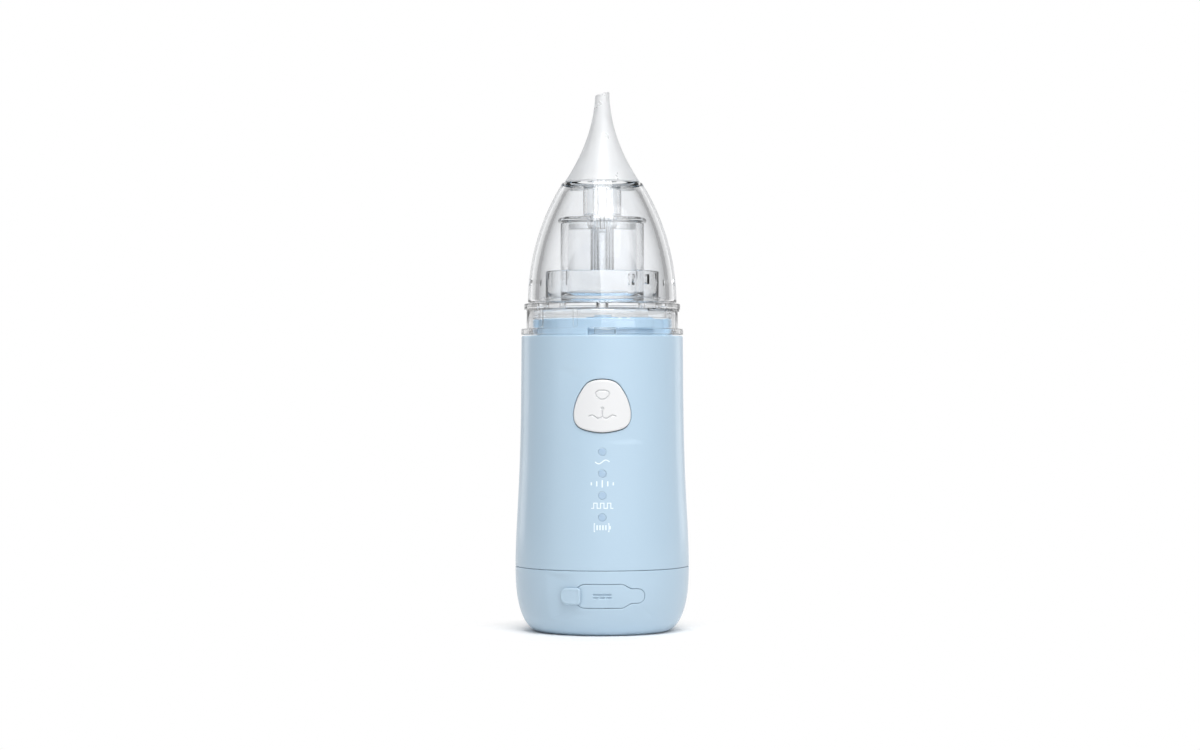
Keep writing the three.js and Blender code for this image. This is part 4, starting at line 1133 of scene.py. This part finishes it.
def new_material(name):
    material = bpy.data.materials.new(name)
    material.use_nodes = True
    tree = material.node_tree
    tree.nodes.clear()
    make = Maker(tree)
    surface = make.add("ShaderNodeBsdfPrincipled")
    output = make.add("ShaderNodeOutputMaterial")
    make.put(surface.outputs["BSDF"], output.inputs["Surface"])
    return material, make, surface.inputs, output


# ---- Materials of the outside ------------------------------------------------------------------

BLUE = (0.425, 0.562, 0.68, 1)


def painted_plastic(
    name, colour, roughness, wear=0.06, cloud=0.08, grain=1900.0, depth=0.12, grime=0.35, sheen=0.0
):
    """Satin moulded plastic with a fine grain, handled patches, dust and painted shade in its creases."""
    material, make, surface, _ = new_material(name)
    mould = use(
        make, MOULDED, colour=colour, roughness=roughness, wear=wear, cloudiness=cloud, grain_size=grain,
        grain_depth=depth
    )
    # The colour gets dust on what faces up and painted shade in creases.
    dusty = use(make, DUST_AND_SHADE, colour=mould["Colour"], dust=0.1, grime=grime)
    make.put(dusty["Colour"], surface["Base Color"])
    make.put(mould["Roughness"], surface["Roughness"])
    make.put(mould["Normal"], surface["Normal"])
    surface["Specular IOR Level"].default_value = 0.5
    surface["Sheen Weight"].default_value = sheen
    surface["Coat Weight"].default_value = 0.5
    surface["Coat Roughness"].default_value = 0.16
    return material


def clear_moulding(name, colour, roughness, ior, scratches, edge):
    """See-through plastic with painted grey shade where it is seen edge on, hairline scratches and faint
    smears.
    """
    material, make, surface, output = new_material(name)
    place = make.position()
    smear = make.noise(place, 70.0, 3.0, 0.55)
    ripple = make.bump(make.noise(place, 42.0, 2.0, 0.4), 0.03, 0.0004)
    lines = use(make, SCRATCHES, amount=scratches, normal=ripple)
    rough = make.band(smear, 0.45, 0.75, roughness, roughness + 0.03)
    make.put(make.sum("ADD", rough, make.sum("MULTIPLY", lines["Mask"], 0.15)), surface["Roughness"])
    body = make.mixed(make.band(smear, 0.3, 0.8), colour, (colour[0] * 0.985, colour[1] * 0.99, colour[2], 1))
    # Painted shade: the colour turns towards the edge colour where the surface is seen edge on.
    turned_away = make.add("ShaderNodeLayerWeight")
    turned_away.inputs["Blend"].default_value = 0.5
    painted_edge_shade = make.band(turned_away.outputs["Facing"], 0.35, 0.9)
    make.put(make.mixed(painted_edge_shade, body, edge), surface["Base Color"])
    make.put(lines["Normal"], surface["Normal"])
    surface["IOR"].default_value = ior
    surface["Transmission Weight"].default_value = 1.0
    through_light(make, output, (0.93, 0.96, 0.98, 1))
    return material


def through_light(make, output, tint):
    """Lamp light passes through the piece, a little tinted."""
    glass = output.inputs["Surface"].links[0].from_socket
    path = make.add("ShaderNodeLightPath")
    clear = make.add("ShaderNodeBsdfTransparent")
    clear.inputs["Color"].default_value = tint
    mix = make.add("ShaderNodeMixShader")
    make.put(path.outputs["Is Shadow Ray"], mix.inputs["Fac"])
    make.put(glass, mix.inputs[1])
    make.put(clear.outputs["BSDF"], mix.inputs[2])
    make.put(mix.outputs["Shader"], output.inputs["Surface"])


def silicone(name, colour, second, roughness, clearness, ior=1.41, rim=0.0):
    """Translucent silicone: cloudy inside, a soft skin, dust specks, and painted grey shade where it is seen
    edge on.
    """
    material, make, surface, output = new_material(name)
    skin_look = use(make, SILICONE, colour=colour, second_colour=second, roughness=roughness)
    speckled = make.mixed(
        make.sum("MULTIPLY", skin_look["Specks"], 0.1), skin_look["Colour"], (0.5, 0.52, 0.55, 1)
    )
    # Painted shade: the colour turns grey where the surface is seen edge on, as much as rim asks.
    turned_away = make.add("ShaderNodeLayerWeight")
    turned_away.inputs["Blend"].default_value = 0.5
    painted_rim_shade = make.band(turned_away.outputs["Facing"], 0.3, 0.95, 0.0, rim)
    make.put(make.mixed(painted_rim_shade, speckled, (0.42, 0.43, 0.44, 1)), surface["Base Color"])
    make.put(skin_look["Roughness"], surface["Roughness"])
    make.put(skin_look["Normal"], surface["Normal"])
    surface["IOR"].default_value = ior
    surface["Transmission Weight"].default_value = clearness
    through_light(make, output, (0.86, 0.9, 0.93, 1))
    return material


def window_material():
    """Milky light guide that lamp light seeps into."""
    material, make, surface, _ = new_material("milky_window")
    mould = use(
        make, MOULDED, colour=(0.38, 0.51, 0.65, 1), roughness=0.3, wear=0.04, cloudiness=0.1,
        grain_size=2600.0, grain_depth=0.06
    )
    make.put(mould["Colour"], surface["Base Color"])
    make.put(mould["Roughness"], surface["Roughness"])
    make.put(mould["Normal"], surface["Normal"])
    surface["Subsurface Weight"].default_value = 0.3
    surface["Subsurface Radius"].default_value = (0.6, 0.8, 1.0)
    surface["Subsurface Scale"].default_value = 0.001
    return material


def printed_ink():
    """Pad-printed light ink, slightly patchy at its edge and glossier than the casing."""
    material, make, surface, _ = new_material("printed_symbols")
    place = make.position()
    patchy = make.band(make.noise(place, 1600.0, 4.0, 0.6), 0.35, 0.6, 0.0, 0.4)
    make.put(make.mixed(patchy, (0.78, 0.85, 0.91, 1), (0.66, 0.76, 0.85, 1)), surface["Base Color"])
    make.put(make.band(make.noise(place, 700.0), 0.3, 0.7, 0.32, 0.46), surface["Roughness"])
    make.put(make.bump(make.noise(place, 1500.0), 0.1, 0.00005), surface["Normal"])
    return material


def port_rubber():
    """Soft matt rubber, the casing's blue, with a powdery skin."""
    material, make, surface, _ = new_material("port_cover_rubber")
    skin_look = use(
        make, SILICONE, colour=(0.435, 0.57, 0.685, 1), second_colour=(0.405, 0.535, 0.65, 1),
        roughness=0.56
    )
    # Dust, and painted shade darkening the creases round the tab, plug and strap.
    dusty = use(make, DUST_AND_SHADE, colour=skin_look["Colour"], dust=0.22, grime=0.5)
    make.put(dusty["Colour"], surface["Base Color"])
    make.put(skin_look["Roughness"], surface["Roughness"])
    make.put(skin_look["Normal"], surface["Normal"])
    surface["Sheen Weight"].default_value = 0.08
    return material


# ---- Materials of the works inside -------------------------------------------------------------


def metal(name, colour, roughness, stretch, tarnish=(0.4, 0.33, 0.25, 1), spread_out=0.2):
    """Rolled or turned metal: fine lines, scratches and a touch of tarnish."""
    material, make, surface, _ = new_material(name)
    grain = use(make, BRUSHED, stretch=stretch)
    stain = make.band(make.noise(make.position(), 260.0, 5.0, 0.6), 0.5, 0.75, 0.0, spread_out)
    make.put(make.mixed(stain, colour, tarnish), surface["Base Color"])
    make.put(make.band(grain["Lines"], 0.3, 0.7, roughness - 0.06, roughness + 0.1), surface["Roughness"])
    lines = use(make, SCRATCHES, amount=0.5, normal=grain["Normal"])
    make.put(lines["Normal"], surface["Normal"])
    surface["Metallic"].default_value = 1.0
    return material


def circuit_board():
    """Green solder mask over copper tracks and pads."""
    material, make, surface, _ = new_material("circuit_board")
    place = make.position()
    tracks = make.cells(place, 420.0, "DISTANCE_TO_EDGE")
    copper = make.band(tracks, 0.04, 0.07, 1.0, 0.0)
    pads = make.band(make.cells(place, 260.0), 0.08, 0.1, 1.0, 0.0)
    mask = make.mixed(copper, (0.012, 0.11, 0.045, 1), (0.03, 0.22, 0.09, 1))
    make.put(make.mixed(pads, mask, (0.55, 0.5, 0.42, 1)), surface["Base Color"])
    make.put(make.band(pads, 0.0, 1.0, 0.32, 0.22), surface["Roughness"])
    make.put(pads, surface["Metallic"])
    make.put(make.bump(make.sum("ADD", copper, pads), 0.4, 0.00004), surface["Normal"])
    surface["Coat Weight"].default_value = 0.4
    return material


def felt_pad():
    """Open felt: tangled fibres with a soft sheen."""
    material, make, surface, _ = new_material("felt")
    place = make.position()
    fibres = make.noise(place, 1400.0, 8.0, 0.75)
    clumps = make.cells(place, 900.0)
    make.put(
        make.mixed(make.band(fibres, 0.3, 0.7), (0.45, 0.46, 0.47, 1), (0.74, 0.75, 0.76, 1)),
        surface["Base Color"]
    )
    make.put(make.bump(make.sum("ADD", fibres, clumps), 0.8, 0.0002), surface["Normal"])
    surface["Roughness"].default_value = 0.95
    surface["Sheen Weight"].default_value = 0.4
    return material


def cell_sleeve():
    """Shrink sleeve over the cell: a glossy film with faint shrink ripples."""
    material, make, surface, _ = new_material("cell_sleeve")
    place = make.position()
    ripple = make.waves(place, 160.0, "Z", 6.0)
    scuffs = make.band(make.noise(place, 300.0, 6.0, 0.7), 0.55, 0.7)
    make.put(make.mixed(scuffs, (0.02, 0.16, 0.42, 1), (0.09, 0.26, 0.5, 1)), surface["Base Color"])
    make.put(make.band(scuffs, 0.0, 1.0, 0.16, 0.4), surface["Roughness"])
    make.put(make.bump(ripple, 0.06, 0.0001), surface["Normal"])
    return material


def wire_jacket(name, colour, darker):
    """PVC wire jacket, slightly ribbed by the strands inside."""
    material, make, surface, _ = new_material(name)
    place = make.position()
    strands = make.waves(place, 420.0, "DIAGONAL", 1.5)
    make.put(make.mixed(make.band(make.noise(place, 500.0), 0.4, 0.6), colour, darker), surface["Base Color"])
    make.put(make.band(strands, 0.0, 1.0, 0.3, 0.42), surface["Roughness"])
    make.put(make.bump(strands, 0.15, 0.00008), surface["Normal"])
    return material


def inside_rubber():
    """Carbon-black rubber with a mould bloom."""
    material, make, surface, _ = new_material("black_rubber")
    skin_look = use(
        make, SILICONE, colour=(0.02, 0.02, 0.021, 1), second_colour=(0.05, 0.05, 0.052, 1), roughness=0.62
    )
    make.put(skin_look["Colour"], surface["Base Color"])
    make.put(skin_look["Roughness"], surface["Roughness"])
    make.put(skin_look["Normal"], surface["Normal"])
    return material


def make_materials():
    """One material for each of the record's slots."""
    # The nozzle's rim value paints grey shade where it is seen edge on.
    frosted = silicone("soft_silicone", (0.73, 0.732, 0.735, 1), (0.70, 0.702, 0.705, 1), 0.3, 0.45, rim=0.85)
    return {
        "casing_blue": painted_plastic("pale_blue_plastic", BLUE, 0.42, grime=0.12),
        "button_white": painted_plastic("white_button_plastic", (0.70, 0.705, 0.715, 1), 0.36, grime=0.6,
        cloud=0.03),
        "window_tint": window_material(),
        "flap_rubber": port_rubber(),
        # The clear plastic's last colour is the painted grey shade where it is seen edge on.
        "clear_plastic": clear_moulding("clear_plastic", (0.98, 0.985, 0.988, 1), 0.01, 1.44, 0.25,
        (0.70, 0.71, 0.72, 1)),
        "soft_silicone": frosted,
        "felt": felt_pad(),
        "screw_steel": metal("zinc_plated_steel", (0.62, 0.62, 0.6, 1), 0.3, (1, 1, 9)),
        "frame_plastic": painted_plastic("off_white_nylon", (0.6, 0.6, 0.56, 1), 0.5, cloud=0.2,
        grain=1300.0),
        "board_green": circuit_board(),
        "black_plastic": painted_plastic("black_moulding", (0.025, 0.026, 0.028, 1), 0.42, grain=1500.0),
        "lamp_white": painted_plastic("lamp_lens", (0.78, 0.78, 0.7, 1), 0.22, grain=2600.0, grime=0.1),
        "socket_metal": metal("nickel_shell", (0.68, 0.67, 0.64, 1), 0.26, (9, 1, 1)),
        "motor_can": metal("drawn_motor_can", (0.55, 0.55, 0.54, 1), 0.34, (1, 1, 14), spread_out=0.35),
        "cell_wrap": cell_sleeve(),
        "black_rubber": inside_rubber(),
        "lead_red": wire_jacket("red_wire_jacket", (0.5, 0.02, 0.02, 1), (0.36, 0.012, 0.015, 1)),
        "lead_black": wire_jacket("black_wire_jacket", (0.02, 0.02, 0.022, 1), (0.05, 0.05, 0.055, 1)),
    }


# ---- Printed symbols ---------------------------------------------------------------------------


def inked_outline(outline, lift=0.012):
    """A thin flat mark on the casing: the outline's fill, laid just proud of the surface."""
    shape = bmesh.new()
    face = [shape.verts.new((p[0], p[1], 0)) for p in outline]
    shape.faces.new(face)
    bmesh.ops.triangulate(shape, faces=shape.faces)
    solid = bmesh.ops.extrude_face_region(shape, geom=shape.faces[:])
    raised = [g for g in solid["geom"] if isinstance(g, bmesh.types.BMVert)]
    high_set = set(raised)
    for corner in shape.verts:
        depth = -lift if corner in high_set else 0.03
        corner.co = wrapped(corner.co.x, corner.co.y, depth, casing_radius)
    return shape


def inked_line(curve, width, lift=0.012):
    """A printed line of even width along a run of points."""
    points = [Vector(p) for p in curve]
    left, right = [], []
    for i, point in enumerate(points):
        along = points[min(i + 1, len(points) - 1)] - points[max(i - 1, 0)]
        side = Vector((-along.y, along.x)).normalized() * width / 2
        left.append(point + side)
        right.append(point - side)
    return inked_outline(left + right[::-1], lift)


def symbol_rows():
    """Generic marks under the windows: one low wave, three level bars, a pulse train and a battery."""
    under = [z - 2.93 for z in WINDOWS]
    marks = []
    gentle = [(x, under[0] + 0.55 * sin(x / 2.1 * pi)) for x in spread(-2.1, 2.1, 24)]
    marks.append(inked_line(gentle, 0.34))
    for x, half in ((-3.2, 0.45), (-1.6, 0.75), (0, 1.05), (1.6, 0.75), (3.2, 0.45)):
        marks.append(inked_line([(x, under[1] - half), (x, under[1] + half)], 0.4))
    foot, peak = under[2] - 0.75, under[2] + 0.75
    pulse = [(-3.1, foot)]
    for start in (-2.5, -0.5, 1.5):
        pulse += [(start, foot), (start, peak), (start + 1, peak), (start + 1, foot)]
    pulse.append((3.1, foot))
    for one, other in zip(pulse, pulse[1:]):
        along = (Vector(other) - Vector(one)).normalized() * 0.14
        marks.append(inked_line([Vector(one) - along, Vector(other) + along], 0.28))
    z = under[3]
    left, right, half = -2.35, 1.95, 1.15
    for line in ([(left, z - half), (right, z - half)], [(left, z + half), (right, z + half)],
                 [(left, z - half - 0.13), (left, z + half + 0.13)],
                 [(right, z - half - 0.13), (right, z + half + 0.13)]):
        marks.append(inked_line(line, 0.26))
    marks.append(inked_line([(right + 0.33, z - 0.5), (right + 0.33, z + 0.5)], 0.36))
    for x in (-1.5, -0.65, 0.2, 1.05):
        marks.append(inked_line([(x, z - 0.72), (x, z + 0.72)], 0.42))
    return marks


def printed_symbols():
    joined = bmesh.new()
    for mark in symbol_rows():
        mesh = bpy.data.meshes.new("mark")
        bmesh.ops.recalc_face_normals(mark, faces=mark.faces)
        mark.to_mesh(mesh)
        mark.free()
        joined.from_mesh(mesh)
        bpy.data.meshes.remove(mesh)
    return to_object("printed_symbols", joined, 20)


# ---- The object --------------------------------------------------------------------------------


def placed(piece, body, slot, material, *nodes):
    """Gives a piece its material and its body, and hides the CAD nodes it stands for; the slot argument is
    not used.
    """
    piece.data.materials.clear()
    piece.data.materials.append(material)
    if body:
        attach(piece, body)
    if nodes:
        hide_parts(*nodes)
    return piece


def build_object():
    looks = make_materials()
    # The last colour is the painted grey shade where the cup is seen edge on.
    clear_cup = clear_moulding(
        "clear_cup_plastic", (0.98, 0.985, 0.99, 1), 0.01, 1.44, 0.3, (0.62, 0.63, 0.64, 1)
    )
    for part in frame["record"]["subparts"]:
        mesh = frame["nodes"][part["node"]].data
        mesh.materials.clear()
        mesh.materials.append(looks[part["material_slot"]])
    seal_look = silicone(
        "clear_seal_silicone", (0.985, 0.99, 0.99, 1), (0.975, 0.98, 0.985, 1), 0.02, 1.0, 1.03
    )
    blue, clear, soft, rubber = (
        looks[s] for s in ("casing_blue", "clear_plastic", "soft_silicone", "flap_rubber")
    )
    placed(body_casing(), "housing", "casing_blue", blue, "body_shell")
    placed(base_cap(), "housing", "casing_blue", blue, "base_cap")
    placed(neck(), "housing", "casing_blue", blue, "neck_plate")
    placed(window_pipe(), "housing", "window_tint", looks["window_tint"], "light_pipe")
    placed(printed_symbols(), "housing", "window_tint", printed_ink())
    placed(button(), "button", "button_white", looks["button_white"], "power_button")
    placed(pull_tab(), "flap", "flap_rubber", rubber)
    placed(port_plug(), "flap", "flap_rubber", rubber)
    strap = placed(port_strap(), None, "flap_rubber", rubber, "port_flap", "flap_anchor")
    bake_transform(strap)
    placed(cup_base(), "cup", "clear_plastic", clear, "cup_base")
    placed(mucus_cup(), "cup", "clear_plastic", clear_cup, "collection_cup")
    placed(splash_lid(), "cup", "clear_plastic", clear, "splash_lid")
    placed(seal("base_gasket", "cup_gasket"), "cup", "soft_silicone", seal_look, "cup_gasket")
    placed(seal("lip_seal", "dome_seal"), "dome", "soft_silicone", seal_look, "dome_seal")
    placed(dome(), "dome", "clear_plastic", clear, "cup_dome")
    placed(nozzle(), "tip", "soft_silicone", soft, "nozzle")


# ---- Studio ------------------------------------------------------------------------------------


def lamp(name, size, energy, place, aim=(0, 0, 0.08), colour=(1, 1, 1)):
    light = bpy.data.lights.new(name, "AREA")
    light.shape = "RECTANGLE"
    light.size, light.size_y = size
    light.energy = energy
    light.color = colour
    rig = bpy.data.objects.new(name, light)
    bpy.context.scene.collection.objects.link(rig)
    rig.location = place
    rig.rotation_euler = (Vector(aim) - Vector(place)).to_track_quat("-Z", "Y").to_euler()
    return rig


FRONT_LIGHT = 0.25


def studio():
    scene = bpy.context.scene
    world = bpy.data.worlds.new("studio_light")
    scene.world = world
    world.use_nodes = True
    tree = world.node_tree
    tree.nodes.clear()
    make = Maker(tree)
    look = make.add("ShaderNodeTexCoord").outputs["Generated"]
    split = make.add("ShaderNodeSeparateXYZ")
    make.put(look, split.inputs[0])
    side = make.sum("ABSOLUTE", split.outputs["X"], 0.0)
    beside = make.band(side, 0.15, 0.6, 1.0, 0.42)
    behind = make.band(split.outputs["Y"], -0.1, 0.55, FRONT_LIGHT, 1.0)
    path = make.add("ShaderNodeLightPath")
    wall = make.mixed(path.outputs["Is Camera Ray"], (0.985, 0.99, 1.0, 1), (1, 1, 1, 1))
    background = make.add("ShaderNodeBackground")
    make.put(wall, background.inputs["Color"])
    level = make.sum("MULTIPLY", beside, behind)
    make.put(make.sum("MAXIMUM", level, path.outputs["Is Camera Ray"]), background.inputs["Strength"])
    output = make.add("ShaderNodeOutputWorld")
    make.put(background.outputs["Background"], output.inputs["Surface"])

    lamp("key_softbox", (1.2, 1.0), 7.6, (0.42, -0.92, 0.62))
    lamp("fill_softbox", (0.6, 0.9), 0.7, (-0.95, -0.6, 0.3))
    lamp("top_softbox", (0.5, 0.4), 5.2, (0.02, -0.42, 0.8))
    for side_x in (-1, 1):
        rig = lamp("rim_strip", (0.3, 0.9), 1.1, (0.6 * side_x, 0.62, 0.14))
        rig.visible_transmission = False

    shape = bmesh.new()
    half = 2.2
    bmesh.ops.create_grid(shape, x_segments=24, y_segments=24, size=half)
    floor = to_object("floor", shape)
    material, maker, surface, output = new_material("pale_floor")
    place = maker.position()
    maker.put(
        maker.mixed(maker.noise(place, 30.0), (0.93, 0.93, 0.93, 1), (0.96, 0.96, 0.96, 1)),
        surface["Base Color"]
    )
    surface["Roughness"].default_value = 0.6
    away = maker.add("ShaderNodeVectorMath", operation="LENGTH")
    maker.put(place, away.inputs[0])
    glow = maker.add("ShaderNodeEmission")
    mix = maker.add("ShaderNodeMixShader")
    maker.put(maker.band(away.outputs["Value"], 0.022, 0.045), mix.inputs["Fac"])
    maker.put(output.inputs["Surface"].links[0].from_socket, mix.inputs[1])
    maker.put(glow.outputs["Emission"], mix.inputs[2])
    maker.put(mix.outputs["Shader"], output.inputs["Surface"])
    floor.data.materials.append(material)

    scene.cycles.max_bounces = 40
    scene.cycles.transmission_bounces = 32
    scene.cycles.transparent_max_bounces = 32
    scene.view_settings.view_transform = "Standard"
    scene.view_settings.look = "None"

    camera_data = bpy.data.cameras.new("camera")
    camera_data.lens = 85.3
    camera_data.sensor_width = 36
    camera_data.clip_start = 0.05
    camera = bpy.data.objects.new("camera", camera_data)
    scene.collection.objects.link(camera)
    camera.location = (-0.00066, -0.853, 0.0765)
    camera.rotation_euler = (radians(90), 0, 0)
    scene.camera = camera


build_object()
studio()
bpy.context.view_layer.update()
